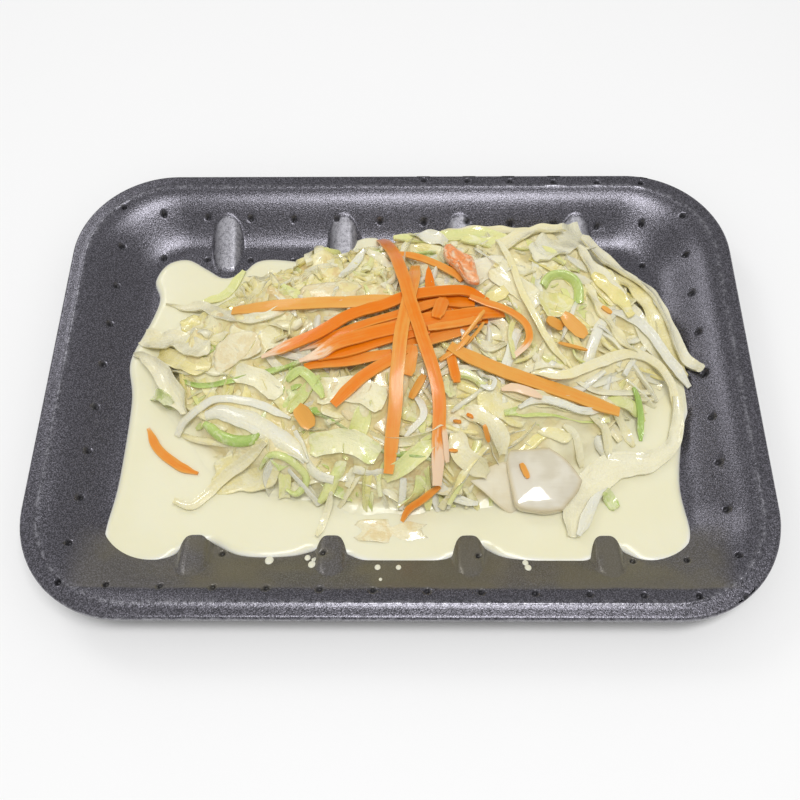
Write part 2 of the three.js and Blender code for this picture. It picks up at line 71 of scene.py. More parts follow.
def smooth(low: float, high: float, value: Array) -> Array:
    """A soft step from 0 at `low` to 1 at `high`."""
    share = np.clip((value - low) / (high - low), 0.0, 1.0)
    return share * share * (3.0 - 2.0 * share)


def linear(red: int, green: int, blue: int) -> Colour:
    """Scene-linear colour of 8-bit display values.

    Args:
        red: Red, from 0 to 255.
        green: Green, from 0 to 255.
        blue: Blue, from 0 to 255.

    Returns:
        The three channels, from 0 to 1.
    """
    def channel(value: int) -> float:
        share = value / 255.0
        return share / 12.92 if share <= 0.04045 else ((share + 0.055) / 1.055) ** 2.4
    return (channel(red), channel(green), channel(blue))


def spline(points: Points, count: int, closed: bool = False) -> Array:
    """Points spaced evenly along a smooth curve through the given ones.

    Args:
        points: Places that the curve runs through, of any dimension.
        count: How many points come back.
        closed: Whether the curve returns to its start.

    Returns:
        An array of `count` rows.
    """
    knots = np.asarray(points, float)
    if closed:
        knots = np.vstack([knots[-1:], knots, knots[:2]])
    else:
        knots = np.vstack([2 * knots[0] - knots[1], knots, 2 * knots[-1] - knots[-2]])
    pieces = []
    share = np.linspace(0.0, 1.0, 24, endpoint=False)[:, None]
    for a, b, c, d in zip(knots, knots[1:], knots[2:], knots[3:]):
        curve = 2 * a - 5 * b + 4 * c - d + share * (3 * (b - c) + d - a)
        pieces.append(b + 0.5 * share * (c - a + share * curve))
    fine = np.vstack([*pieces, knots[-2:-1]])
    travelled = np.concatenate([[0.0], np.cumsum(np.linalg.norm(np.diff(fine, axis=0), axis=1))])
    places = np.linspace(0.0, travelled[-1], count, endpoint=not closed)
    return np.stack([np.interp(places, travelled, axis) for axis in fine.T], axis=1)


def settled(forms: Array, heights: Array, lift: float) -> Array:
    """How much of each of some plain forms makes a smooth one that lies over bumpy heights.

    Args:
        forms: A row for each place, with the value of each plain form there.
        heights: The bumpy heights at the places.
        lift: Weight of the places that stick out, against all the others.

    Returns:
        A weight for each plain form.
    """
    trust = np.ones(len(heights))
    for _ in range(7):
        root = np.sqrt(trust)
        shares = np.linalg.lstsq(forms * root[:, None], heights * root, rcond=None)[0]
        trust = np.where(heights > forms @ shares, lift, 1.0 - lift)
    return shares


# ---------------- tray and heap as height fields


@dataclass
class TrayForm:
    """The tray's own sizes, in millimetres."""

    foam: float = 3.0
    wall_run: float = 20.5
    rim_width: float = 4.5
    rim_corner: float = 32.0
    corner_ease: float = 0.72
    under_shift: float = 1.2
    rib_pitch: float = 40.0
    rib_count: int = 4
    rib_centre: float = 56.0
    rib_half: float = 4.8
    rib_end: float = 8.6
    rib_sag: float = 2.3
    rib_height: float = 7.2
    rib_tilt: float = math.radians(19.0)
    rib_shift: float = 0.3
    pit_pitch: float = 15.0
    pit_columns: int = 14
    pit_rows: int = 10
    pit_shift: float = -3.8
    pit_turn: tuple[float, float] = (-0.0195, -19.0)
    pit_skew: tuple[float, float] = (0.5, -0.006)
    pit_radius: float = 1.15
    pit_depth: float = 1.6
    rim_pit_first: int = 7
    length: float = field(init=False)
    width: float = field(init=False)
    height: float = field(init=False)

    def __post_init__(self) -> None:
        """Takes the outer sizes from the frame's own tray."""
        low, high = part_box("tray")
        self.length, self.width, self.height = ((b - a) / MM for a, b in zip(low, high))

    def inner(self, inset: Array) -> Array:
        """Height of the inner face, this far inwards from the outer edge."""
        rise = self.height - self.foam
        return self.foam + rise * (1.0 - smooth(self.rim_width, self.rim_width + self.wall_run, inset))

    def corner(self, inset: Array) -> Array:
        """Radius of the rounded corners, this far inwards."""
        return np.maximum(self.rim_corner - self.corner_ease * inset, 1.0)

    def inset(self, x: Array, y: Array) -> Array:
        """How far points in plan lie inwards from the outer edge.

        Args:
            x: Places along the tray.
            y: Places across it.

        Returns:
            A distance for each place.
        """
        near = np.zeros(np.shape(x))
        far = np.full(np.shape(x), self.width / 2)
        for _ in range(18):
            middle = (near + far) / 2
            radius = self.corner(middle)
            over_x = np.maximum(np.abs(x) - (self.length / 2 - middle - radius), 0.0)
            over_y = np.maximum(np.abs(y) - (self.width / 2 - middle - radius), 0.0)
            within = np.hypot(over_x, over_y) < radius
            near = np.where(within, middle, near)
            far = np.where(within, far, middle)
        return near

    def ribs(self, x: Array, y: Array) -> Array:
        """Height of the inner face with the ribs that swell out of it, without perforations.

        Args:
            x: Places along the tray.
            y: Places across it.

        Returns:
            A height for each place.
        """
        face = self.inner(self.inset(x, y))
        top = np.zeros(np.shape(x))
        ramp = self.rib_height + (np.abs(y) - self.rib_centre) * math.tan(self.rib_tilt)
        past = (np.abs(y) - self.rib_centre - self.rib_end + self.rib_half) / self.rib_half
        half = self.rib_half * np.sqrt(1.0 - np.clip(past, 0.0, 0.98) ** 2)
        for rib in range(self.rib_count):
            middle = (rib - (self.rib_count - 1) / 2) * self.rib_pitch + self.rib_shift
            crown = ramp - self.rib_sag * (np.abs(x - middle) / half) ** 4
            over = np.where(np.abs(y) < self.rib_centre + self.rib_end, crown - face, -3.0)
            eased = 0.5 * (over + np.sqrt(over * over + 0.04)) - 0.1 * np.exp(-over ** 2)
            top = np.maximum(top, face + eased)
        return np.maximum(top, face)

    def along_face(self, half: float, distance: float) -> float:
        """Place in plan of a point measured along the inner face from the middle line.

        Args:
            half: Half of the tray's outer size that way.
            distance: The distance, with its sign.

        Returns:
            The place, with the same sign.
        """
        plan, travelled, step = 0.0, 0.0, 0.1
        while travelled < abs(distance):
            insets = np.array([half - plan - step, half - plan])
            low, high = self.inner(insets)
            travelled += math.hypot(step, low - high)
            plan += step
        return math.copysign(plan, distance)

    def pits(self, covered: Callable[[Array, Array], Array]) -> Array:
        """Plan places of the perforations that the food leaves bare.

        Args:
            covered: Says which places in plan lie under the food.

        Returns:
            A row of x and y for each.
        """
        places = []
        for row in range(-1, self.pit_rows):
            for column in range(self.pit_columns):
                across = (column - (self.pit_columns - 1) / 2) * self.pit_pitch
                back = ((self.pit_rows - 1) / 2 - row) * self.pit_pitch + self.pit_shift
                x = self.along_face(self.length / 2, across)
                y = self.along_face(self.width / 2, back)
                y += self.pit_turn[0] * (x - self.pit_turn[1])
                x += self.pit_skew[0] + self.pit_skew[1] * x
                short_row = self.rim_pit_first <= column < self.pit_columns - 1
                if row >= 0 or short_row:
                    places.append((x, y))
        spots = np.array(places)
        return spots[~covered(spots[:, 0], spots[:, 1])]


@dataclass
class PoolForm:
    """Outline and level of the dressing, in millimetres."""

    tray: TrayForm
    level: float = 5.3
    lip: float = 3.0
    shore: tuple[tuple[float, float], ...] = (
        (-80, 47), (-73, 49), (-66, 45), (-60, 41.5), (-54, 43.5), (-46, 49), (-20, 47), (40, 47),
        (72, 38), (84, 15), (91, -3), (87.5, -17), (84.7, -34), (85.5, -49), (81, -56), (71, -57.5),
        (61, -53), (53, -58), (32, -57), (21, -52), (13, -57.5), (-8, -58.2), (-20, -54),
        (-32, -56.5), (-46, -56.3), (-58.5, -51.2), (-67, -56.8), (-77, -58.6), (-84.5, -56),
        (-86.6, -48), (-85.3, -32), (-85.2, -6), (-87.4, 9), (-82.5, 25), (-81, 33), (-83.3, 40),
    )

    def outline(self, count: int) -> Array:
        """Points round the shore."""
        return spline(self.shore, count, closed=True)

    def holds(self, x: Array, y: Array) -> Array:
        """True where a place in plan lies inside the shore.

        Args:
            x: Places along the tray.
            y: Places across it.

        Returns:
            A truth value for each place.
        """
        line = self.outline(180)
        inside = np.zeros(np.shape(x), bool)
        for (ax, ay), (bx, by) in zip(line, np.roll(line, -1, axis=0)):
            straddles = (ay > y) != (by > y)
            if abs(by - ay) > 1e-9:
                inside ^= straddles & (x < ax + (y - ay) / (by - ay) * (bx - ax))
        return inside


@dataclass
class HeapForm:
    """The heap's dome, in millimetres, as the frame's own slaw has it."""

    tray: TrayForm
    centre: tuple[float, float] = (2.0, 4.0)
    reach: tuple[float, ...] = (79, 77, 58, 49, 50, 61, 76, 63, 50, 45, 50, 63)
    peak: float = 19.0
    foot: float = 2.7
    lumps: tuple[tuple[float, float, float, float, float], ...] = (
        (40, 30, 24, 16, 6), (-26, 22, 24, 16, 2), (0, 8, 26, 20, 3.5))
    smooth_patch: tuple[float, float, float, float] = (53.0, -26.0, 10.0, 9.0)
    slice_patch: tuple[float, float, float, float] = (38.0, -35.0, 17.0, 9.0)

    def bare(self, x: Array, y: Array) -> Array:
        """How much a place belongs to the patch of smooth dressing without shreds, from 0 to 1."""
        cx, cy, long, wide = self.smooth_patch
        return 1.0 - smooth(0.75, 1.15, np.hypot((x - cx) / long, (y - cy) / wide))

    def kept_free(self, x: Array, y: Array) -> Array:
        """Where no long shred lies: on the smooth patch and under the slice of core."""
        cx, cy, long, wide = self.slice_patch
        return (self.bare(x, y) > 0.6) | (np.hypot((x - cx) / long, (y - cy) / wide) < 1.0)

    def mushy(self, x: Array, y: Array) -> Array:
        """How much a place belongs to the finely cut, soaked corner of the heap, from 0 to 1."""
        return smooth(4, -10, x) * smooth(4, 14, y)

    def pale(self, x: float, y: float) -> float:
        """How much a place belongs to the paler part at the back and to the right, from 0 to 1."""
        return float(smooth(0, 30, np.array(x)) * smooth(-30, 0, np.array(y)))

    def reaches(self, angle: Array) -> Array:
        """How far the heap reaches in a direction.

        Args:
            angle: Directions from the heap's middle, in radians.

        Returns:
            A distance for each direction.
        """
        count = len(self.reach)
        place = np.mod(angle / (2 * math.pi), 1.0) * count
        first = np.floor(place).astype(int)
        ring = np.array(self.reach, float)
        a, b, c, d = (ring[(first + step) % count] for step in (-1, 0, 1, 2))
        t = place - first
        return b + 0.5 * t * (c - a + t * (2 * a - 5 * b + 4 * c - d + t * (3 * (b - c) + d - a)))

    def share(self, x: Array, y: Array) -> Array:
        """How far out a place lies, from 0 at the heap's middle to 1 at its foot."""
        dx, dy = x - self.centre[0], y - self.centre[1]
        return np.hypot(dx, dy) / self.reaches(np.arctan2(dy, dx))

    def top(self, x: Array, y: Array) -> Array:
        """Height of the heap's top; 0 beside it.

        Args:
            x: Places along the tray.
            y: Places across it.

        Returns:
            A height for each place.
        """
        share = self.share(x, y)
        inside = np.minimum(share, 1.0)
        height = self.tray.foam + self.foot + self.peak * (1.0 - inside ** 2.8) ** 0.85
        for cx, cy, long, wide, high in self.lumps:
            bell = np.exp(-((x - cx) / long) ** 2 - ((y - cy) / wide) ** 2)
            height = height + high * bell * (1 - inside ** 4)
        return np.where(share <= 1.0, height, 0.0)


class Relief:
    """A height map of what lies in the tray so far, on a square grid."""

    STEP = 0.5

    def __init__(self, tray: TrayForm, pool: PoolForm, heap: HeapForm, hollow: float) -> None:
        """Starts with the tray, the dressing and the heap's core.

        Args:
            tray: The tray's form.
            pool: The dressing's form.
            heap: The heap's form.
            hollow: How far the core lies under the finished heap.
        """
        self.x0, self.y0 = -tray.length / 2, -tray.width / 2
        xs = np.arange(self.x0, tray.length / 2 + self.STEP, self.STEP)
        ys = np.arange(self.y0, tray.width / 2 + self.STEP, self.STEP)
        self.gx, self.gy = np.meshgrid(xs, ys)
        self.share = heap.share(self.gx, self.gy)
        self.target = heap.top(self.gx, self.gy)
        ground = tray.ribs(self.gx, self.gy)
        ground = np.maximum(ground, np.where(pool.holds(self.gx, self.gy), pool.level, 0.0))
        filled = heap.bare(self.gx, self.gy)
        core = self.target - hollow * (1.0 - np.minimum(self.share, 1.0) ** 5) * (1.0 - 0.8 * filled)
        self.z = np.maximum(ground, np.where(self.share <= 1.0, core, 0.0))

    def read(self, table: Array, x: Array, y: Array) -> Array:
        """Values of a table of the grid at places in plan, between its points in a straight line.

        Args:
            table: A value for each point of the grid.
            x: Places along the tray.
            y: Places across it.

        Returns:
            A value for each place.
        """
        rows, columns = table.shape
        u = np.clip((np.asarray(x) - self.x0) / self.STEP, 0, columns - 1.001)
        v = np.clip((np.asarray(y) - self.y0) / self.STEP, 0, rows - 1.001)
        i, j = u.astype(int), v.astype(int)
        fu, fv = u - i, v - j
        near = table[j, i] * (1 - fu) + table[j, i + 1] * fu
        far = table[j + 1, i] * (1 - fu) + table[j + 1, i + 1] * fu
        return near * (1 - fv) + far * fv

    def at(self, x: Array, y: Array) -> Array:
        """Height of what lies there now."""
        return self.read(self.z, x, y)

    def excess(self) -> float:
        """How far the heap stands over its intended top on average."""
        return float((self.z - self.target)[self.share < 0.9].mean())

    def raise_to(self, places: Array) -> None:
        """Raises the map to the given points.

        Args:
            places: The points, an array of x, y and z.
        """
        rows, columns = self.z.shape
        i = np.clip(np.rint((places[:, 0] - self.x0) / self.STEP).astype(int), 0, columns - 1)
        j = np.clip(np.rint((places[:, 1] - self.y0) / self.STEP).astype(int), 0, rows - 1)
        np.maximum.at(self.z, (j, i), places[:, 2])

    def blurred(self, reach: float) -> Array:
        """The map, softened.

        Args:
            reach: How far it is softened, in millimetres.

        Returns:
            A height for each point of the grid.
        """
        taps = np.arange(-int(3 * reach / self.STEP), int(3 * reach / self.STEP) + 1) * self.STEP
        weights = np.exp(-0.5 * (taps / reach) ** 2)
        weights /= weights.sum()
        soft = self.z
        for axis in (0, 1):
            margin = [(len(taps) // 2,) * 2 if a == axis else (0, 0) for a in (0, 1)]
            padded = np.pad(soft, margin, mode="edge")
            soft = sum(
                weight * np.take(padded, range(k, k + soft.shape[axis]), axis=axis)
                for k, weight in enumerate(weights))
        return soft


# ---------------- shader expressions

Input = Union["Term", float, int, Sequence[float]]


class Term:
    """A socket that can be added, multiplied and compared like a number."""

    def __init__(self, shader: "Shader", socket: NodeSocket) -> None:
        """Keeps the socket and the shader it belongs to."""
        self.shader = shader
        self.socket = socket

    def _with(self, operation: str, *others: Input, first: bool = True) -> "Term":
        """The result of a Math node on this term and others.

        Args:
            operation: The node's operation.
            *others: The other inputs.
            first: Whether this term comes before the others.

        Returns:
            The result.
        """
        order = [self, *others] if first else [*others, self]
        node = self.shader.node("ShaderNodeMath", {"operation": operation}, dict(enumerate(order)))
        return Term(self.shader, node.outputs[0])

    def __add__(self, other: Input) -> "Term":
        """This plus another."""
        return self._with("ADD", other)

    __radd__ = __add__

    def __mul__(self, other: Input) -> "Term":
        """This times another."""
        return self._with("MULTIPLY", other)

    __rmul__ = __mul__

    def __sub__(self, other: Input) -> "Term":
        """This less another."""
        return self._with("SUBTRACT", other)

    def __rsub__(self, other: Input) -> "Term":
        """Another less this."""
        return self._with("SUBTRACT", other, first=False)

    def __pow__(self, other: Input) -> "Term":
        """This to a power."""
        return self._with("POWER", other)

    def at_most(self, other: Input) -> "Term":
        """The smaller of the two."""
        return self._with("MINIMUM", other)

    def step(self, low: float, high: float, to_low: float = 0.0, to_high: float = 1.0) -> "Term":
        """A soft step of this term between two values.

        Args:
            low: Where the step starts.
            high: Where it ends.
            to_low: The result at the start.
            to_high: The result at the end.

        Returns:
            The result.
        """
        node = self.shader.node(
            "ShaderNodeMapRange", {"interpolation_type": "SMOOTHSTEP"},
            {"Value": self, "From Min": low, "From Max": high, "To Min": to_low, "To Max": to_high})
        return Term(self.shader, node.outputs[0])


class Shader:
    """A material under construction."""

    def __init__(self, name: str) -> None:
        """Starts an empty node tree with an output.

        Args:
            name: The material's name.
        """
        self.material = bpy.data.materials.new(name)
        self.material.use_nodes = True
        self.tree = self.material.node_tree
        self.tree.nodes.clear()
        self.output = self.tree.nodes.new("ShaderNodeOutputMaterial")

    def node(self, kind: str, settings: dict | None = None,
             inputs: dict | None = None) -> Node:
        """Adds a node.

        Args:
            kind: The node's type.
            settings: Properties, set first; "stops" lists a ramp's positions and colours.
            inputs: Values or terms by socket name or number.

        Returns:
            The node.
        """
        node = self.tree.nodes.new(kind)
        for key, value in (settings or {}).items():
            if key == "stops":
                ramp = node.color_ramp
                while len(ramp.elements) < len(value):
                    ramp.elements.new(0.5)
                for element, (place, colour) in zip(ramp.elements, value):
                    element.position = place
                    element.color = (*colour, 1.0)
            else:
                setattr(node, key, value)
        for key, value in (inputs or {}).items():
            if isinstance(value, Term):
                self.tree.links.new(value.socket, node.inputs[key])
            else:
                node.inputs[key].default_value = value
        return node

    def term(self, node: Node, output: Union[str, int] = 0) -> Term:
        """One of a node's outputs."""
        return Term(self, node.outputs[output])

    def place(self) -> Term:
        """Object coordinates in millimetres.

        Returns:
            The coordinates.
        """
        source = self.node("ShaderNodeTexCoord")
        scaled = self.node(
            "ShaderNodeVectorMath", {"operation": "SCALE"},
            {0: self.term(source, "Object"), "Scale": 1.0 / MM})
        return self.term(scaled)

    def grain(self, stretch: Sequence[float]) -> Term:
        """The piece's own map, in millimetres along and across it, stretched.

        Args:
            stretch: Factors along, across and through.

        Returns:
            The stretched map.
        """
        source = self.node("ShaderNodeUVMap", {"uv_map": "grain"})
        scaled = self.node(
            "ShaderNodeVectorMath", {"operation": "MULTIPLY"},
            {0: self.term(source), 1: tuple(stretch)})
        return self.term(scaled)

    def facts(self) -> tuple[Term, Term, Term]:
        """The three values that a piece carries at each point.

        Returns:
            The values, each a term.
        """
        source = self.node("ShaderNodeAttribute", {"attribute_name": "facts"})
        split = self.node("ShaderNodeSeparateColor", {}, {0: self.term(source, "Color")})
        return tuple(self.term(split, k) for k in range(3))

    def noise(self, vector: Term, scale: float, detail: float = 2.0, rough: float = 0.5,
              warp: float = 0.0) -> Term:
        """Soft noise between 0 and 1.

        Args:
            vector: Where it is read.
            scale: How fine it is.
            detail: How many finer layers it has.
            rough: How strong the finer layers are.
            warp: How far it is bent.

        Returns:
            The noise.
        """
        node = self.node(
            "ShaderNodeTexNoise", {},
            {"Vector": vector, "Scale": scale, "Detail": detail, "Roughness": rough,
             "Distortion": warp})
        return self.term(node, "Fac")

    def axes(self, vector: Term) -> tuple[Term, Term, Term]:
        """The three parts of a vector."""
        split = self.node("ShaderNodeSeparateXYZ", {}, {0: vector})
        return tuple(self.term(split, k) for k in range(3))

    def mix(self, share: Input, one: Union[Term, Colour], other: Union[Term, Colour]) -> Term:
        """A colour between two.

        Args:
            share: Share of the other colour.
            one: The colour at 0.
            other: The colour at 1.

        Returns:
            The colour.
        """
        inputs = {0: share}
        for key, colour in ((6, one), (7, other)):
            inputs[key] = colour if isinstance(colour, Term) else (*colour, 1.0)
        node = self.node("ShaderNodeMix", {"data_type": "RGBA"}, inputs)
        return self.term(node, 2)

    def ramp(self, value: Term, stops: Sequence[tuple[float, Colour]]) -> Term:
        """A colour read from a ramp."""
        return self.term(self.node("ShaderNodeValToRGB", {"stops": stops}, {0: value}))

    def bump(self, height: Term, depth: float, strength: float = 1.0) -> Term:
        """A surface normal from a height of at most `depth` millimetres.

        Args:
            height: The height, from 0 to about 1.
            depth: Size of a height of 1, in millimetres.
            strength: How much of it is used.

        Returns:
            The normal.
        """
        node = self.node(
            "ShaderNodeBump", {}, {"Height": height, "Distance": depth * MM, "Strength": strength})
        return self.term(node, "Normal")

    def finish(self, **values: Input) -> Material:
        """Ends the material with a Principled shader.

        Args:
            **values: Socket names with underscores for blanks, and their values.

        Returns:
            The material.
        """
        inputs = {key.replace("_", " "): value for key, value in values.items()}
        for key, value in inputs.items():
            if isinstance(value, tuple) and len(value) == 3 and "Color" in key:
                inputs[key] = (*value, 1.0)
        node = self.node("ShaderNodeBsdfPrincipled", {}, inputs)
        self.tree.links.new(node.outputs[0], self.output.inputs[0])
        return self.material


# ---------------- finishes


@dataclass(frozen=True)
class FoamFinish:
    """Dark grey foam with a silvery skin and fine grain; painted highlights on the rim's crease, its
    outer edge and the back ribs, and painted shade in the perforations.
    """

    dark: Colour = linear(68, 67, 72)
    light: Colour = linear(122, 120, 129)
    film: Colour = linear(112, 106, 88)
    # Colour of the painted highlights on the rim and the back ribs.
    bright: Colour = linear(176, 175, 182)
    # Colour of the painted shade in the perforations.
    pit_shade: Colour = linear(20, 19, 21)

    def build(self) -> Material:
        """Makes the material.

        Returns:
            The material.
        """
        s = Shader("foam")
        place = s.place()
        x, y, _ = s.axes(place)
        pit, line, brink = s.facts()
        speck = s.noise(place, 2.6, 2.0, 0.75)
        colour = s.mix(speck.step(0.4, 0.66), self.dark, self.light)
        edge = s.noise(place, 0.07, 3.0, 0.6) * 5.0 - 2.5
        front = y * -1.0
        wet = (front + edge).step(46.0, 52.0) * (front + edge * 0.4).step(68.6, 67.6)
        wet = wet * (x + edge).step(-96.0, -86.0) * (x + edge).step(96.0, 86.0)
        blot = s.noise(place, 0.05, 2.0, 0.5).step(0.42, 0.58, 0.35, 0.75)
        colour = s.mix(wet * blot, colour, self.film)
        # Painted highlight: a patchy light grey line along the rim's crease and along its outer top
        # edge, fainter where the dressing film lies.
        highlight_patches = s.noise(place, 0.8, 2.0, 0.6).step(0.42, 0.62)
        edge_highlight = brink.at_most(1.0) * highlight_patches * (wet * -0.45 + 0.45)
        colour = s.mix(line * highlight_patches * 0.5 + edge_highlight, colour, self.bright)
        # Painted highlight: the ribs of the back wall are lightened, as where they catch the overhead
        # lamp.
        swell = brink.step(1.0, 2.0) * y.step(-10.0, 10.0)
        colour = s.mix(swell * speck.step(0.3, 0.6, 0.1, 0.5), colour, self.bright)
        # Painted shade: a dark ring in each perforation.
        colour = s.mix(pit, colour, self.pit_shade)
        grain = s.noise(place, 2.2, 2.0, 0.7)
        rough = speck.step(0.3, 0.7, 0.2, 0.3) - wet * 0.08 + pit * 0.3 + swell * 0.14
        return s.finish(
            Base_Color=colour, Roughness=rough, IOR=1.5, Normal=s.bump(grain, 0.07),
            Metallic=0.72 - wet * 0.4 - pit * 0.7 - swell * 0.25)


@dataclass(frozen=True)
class DressingFinish:
    """Smooth wet cream dressing, with a painted highlight along its rounded edge."""

    body: Colour = linear(236, 232, 203)
    # Colour of the painted highlight along the pool's edge.
    thin: Colour = linear(242, 241, 232)
    deeper: Colour = linear(233, 228, 192)

    def build(self) -> Material:
        """Makes the material.

        Returns:
            The material.
        """
        s = Shader("dressing")
        place = s.place()
        rim, _, _ = s.facts()
        drift = s.noise(place, 0.045, 2.0, 0.5)
        colour = s.mix(drift.step(0.35, 0.65) * 0.5, self.body, self.deeper)
        # Painted highlight: the rounded edge of the pool is whitened.
        colour = s.mix(rim, colour, self.thin)
        swell = s.noise(place, 0.12, 2.0, 0.5)
        return s.finish(
            Base_Color=colour, Roughness=0.2, IOR=1.42, Subsurface_Weight=0.25,
            Subsurface_Radius=(1.0, 0.9, 0.6), Subsurface_Scale=2.0 * MM, Normal=s.bump(swell, 0.25))


@dataclass(frozen=True)
class CoatFinish:
    """Dressing and fine crumbs of cabbage that fill the gaps of the heap, with painted shade in the
    hollows of their bumps.
    """

    cream: Colour = linear(243, 236, 196)
    yellow: Colour = linear(232, 219, 160)
    # Beige, used as painted shade in the hollows.
    beige: Colour = linear(222, 197, 144)
    pool: Colour = linear(236, 232, 203)

    def build(self) -> Material:
        """Makes the material.

        Returns:
            The material.
        """
        s = Shader("coat")
        place = s.place()
        foot, mush, pale = s.facts()
        patches = s.noise(place, 0.1, 3.0, 0.55, 0.6)
        lumps = s.noise(place, 0.3, 3.0, 0.55, 0.9)
        colour = s.mix(patches.step(0.4, 0.62), self.yellow, self.cream)
        # Painted shade: beige in the hollows of the bumps, stronger in the soaked corner.
        colour = s.mix((lumps + mush * 0.12).step(0.62, 0.45) * (mush * 0.5 + 0.3), colour, self.beige)
        colour = s.mix(pale * 0.6, colour, self.cream)
        colour = s.mix(foot, colour, self.pool)
        height = lumps * (1.0 - foot * 0.9)
        return s.finish(
            Base_Color=colour, Roughness=lumps.step(0.35, 0.65, 0.14, 0.26), IOR=1.42,
            Subsurface_Weight=0.2, Subsurface_Radius=(1.0, 0.9, 0.7), Subsurface_Scale=0.8 * MM,
            Normal=s.bump(height, 0.9, 0.8))


class Tint(float, Enum):
    """Where on the scale from white rib to green leaf a piece of cabbage lies."""

    RIB = 0.0
    CREAM = 0.22
    YELLOW = 0.42
    PALE = 0.6
    LIGHT = 0.78
    GREEN = 1.0


@dataclass(frozen=True)
class CabbageFinish:
    """Wet cabbage: white ribs, cream and yellow heart, pale to fresh green leaf."""

    name: str = "cabbage"
    stops: tuple[tuple[float, Colour], ...] = (
        (0.0, linear(232, 230, 212)), (0.2, linear(238, 230, 190)), (0.42, linear(238, 225, 152)),
        (0.6, linear(228, 228, 158)), (0.78, linear(208, 219, 138)), (1.0, linear(166, 196, 96)))
    milk: Colour = linear(243, 238, 206)

    def build(self) -> Material:
        """Makes the material.

        Returns:
            The material.
        """
        s = Shader(self.name)
        place = s.place()
        tint, coat, _ = s.facts()
        fibre = s.noise(s.grain((0.16, 1.7, 1.0)), 1.0, 3.0, 0.6, 0.3)
        blotch = s.noise(place, 0.16, 3.0, 0.55, 0.5)
        hue = tint + (fibre - 0.5) * 0.25 + (blotch - 0.5) * 0.3
        colour = s.ramp(hue, self.stops)
        smear = s.noise(place, 0.22, 3.0, 0.6, 1.0)
        milky = (smear + coat * 0.5).step(0.54, 0.72)
        colour = s.mix(milky * 0.6, colour, self.milk)
        beads = s.noise(place, 1.0, 2.0, 0.6, 0.5)
        height = fibre * 0.35 + smear * 0.2 + beads * 0.45
        return s.finish(
            Base_Color=colour, Roughness=smear.step(0.35, 0.65, 0.18, 0.3), IOR=1.42,
            Subsurface_Weight=0.3, Subsurface_Radius=(1.0, 0.95, 0.7), Subsurface_Scale=0.5 * MM,
            Coat_Weight=0.9, Coat_Roughness=0.07, Normal=s.bump(height, 0.65, 0.9))


@dataclass(frozen=True)
class CarrotFinish:
    """Moist carrot: darker core streaks, paler edges, pinkish where dressing coats it."""

    name: str = "carrot"
    relief: float = 0.24
    grains: float = 0.0
    deep: Colour = linear(231, 122, 2)
    light: Colour = linear(230, 168, 78)
    amber: Colour = linear(234, 182, 100)
    coated: Colour = linear(236, 212, 184)

    def build(self) -> Material:
        """Makes the material.

        Returns:
            The material.
        """
        s = Shader(self.name)
        place = s.place()
        tone, coat, across = s.facts()
        fibre = s.noise(s.grain((0.05, 1.3, 1.0)), 1.0, 3.0, 0.6, 0.2)
        blotch = s.noise(place, 0.25, 2.0, 0.5, 0.4)
        paler = (tone + (fibre - 0.5) * 0.7 + (blotch - 0.5) * 0.35 + across ** 4.0 * 0.25)
        colour = s.mix(paler.step(0.1, 0.9), self.deep, self.light)
        smear = s.noise(s.grain((0.12, 0.6, 1.0)), 1.0, 3.0, 0.65, 0.8)
        milky = (coat + (smear - 0.5) * 0.8).step(0.3, 0.75)
        colour = s.mix(milky * 0.6, colour, self.amber)
        colour = s.mix(milky.step(0.45, 1.0) * 0.8, colour, self.coated)
        height = fibre * 0.5 + smear * 0.3 + s.noise(place, 1.15, 2.0, 0.6, 0.4) * self.grains
        return s.finish(
            Base_Color=colour, Roughness=smear.step(0.3, 0.7, 0.28, 0.42), IOR=1.42,
            Subsurface_Weight=0.12, Subsurface_Radius=(1.0, 0.7, 0.25), Subsurface_Scale=0.6 * MM,
            Specular_IOR_Level=0.35, Coat_Weight=0.3, Coat_Roughness=0.12,
            Normal=s.bump(height, self.relief, 0.8))


@dataclass(frozen=True)
class CoreFinish:
    """Wet, translucent greyish white of the cabbage's core."""

    name: str = "cabbage_core"
    grey: Colour = linear(212, 204, 182)
    pale: Colour = linear(226, 220, 202)
    brim: Colour = linear(206, 184, 128)

    def build(self) -> Material:
        """Makes the material.

        Returns:
            The material.
        """
        s = Shader(self.name)
        place = s.place()
        veins = s.noise(s.grain((0.1, 0.5, 1.0)), 1.0, 3.0, 0.6, 0.6)
        cloud = s.noise(place, 0.12, 2.0, 0.5, 0.3)
        _, _, out = s.facts()
        colour = s.mix((veins * 0.25 + cloud * 0.75).step(0.38, 0.62), self.grey, self.pale)
        colour = s.mix(out.step(0.84, 1.0) * 0.5, colour, self.brim)
        return s.finish(
            Base_Color=colour, Roughness=0.1, IOR=1.45, Coat_Weight=1.0, Coat_Roughness=0.04,
            Subsurface_Weight=0.3, Subsurface_Radius=(1.0, 0.95, 0.75), Subsurface_Scale=1.5 * MM,
            Normal=s.bump(cloud, 0.8, 0.35))


SOAKED_LEAF = CabbageFinish("soaked_leaf", (
    (0.0, linear(238, 224, 182)), (0.5, linear(232, 214, 164)), (1.0, linear(226, 205, 154))))
ROUGH_CARROT = CarrotFinish(
    "carrot_chunk", 0.7, 2.0, linear(255, 158, 88), linear(255, 218, 180), linear(253, 198, 140))
THIN_CORE = CoreFinish(
    "cabbage_core_thin", linear(230, 219, 188), linear(239, 231, 206), linear(216, 198, 152))


@dataclass(frozen=True)
class FloorFinish:
    """The studio's matt white floor."""

    white: Colour = (0.93, 0.93, 0.93)
    shaded: Colour = (0.92, 0.92, 0.92)

    def build(self) -> Material:
        """Makes the material.

        Returns:
            The material.
        """
        s = Shader("studio_floor")
        shade = s.noise(s.place(), 0.02, 2.0, 0.5)
        colour = s.mix(shade, self.white, self.shaded)
        return s.finish(Base_Color=colour, Roughness=0.9)


# ---------------- mesh helpers


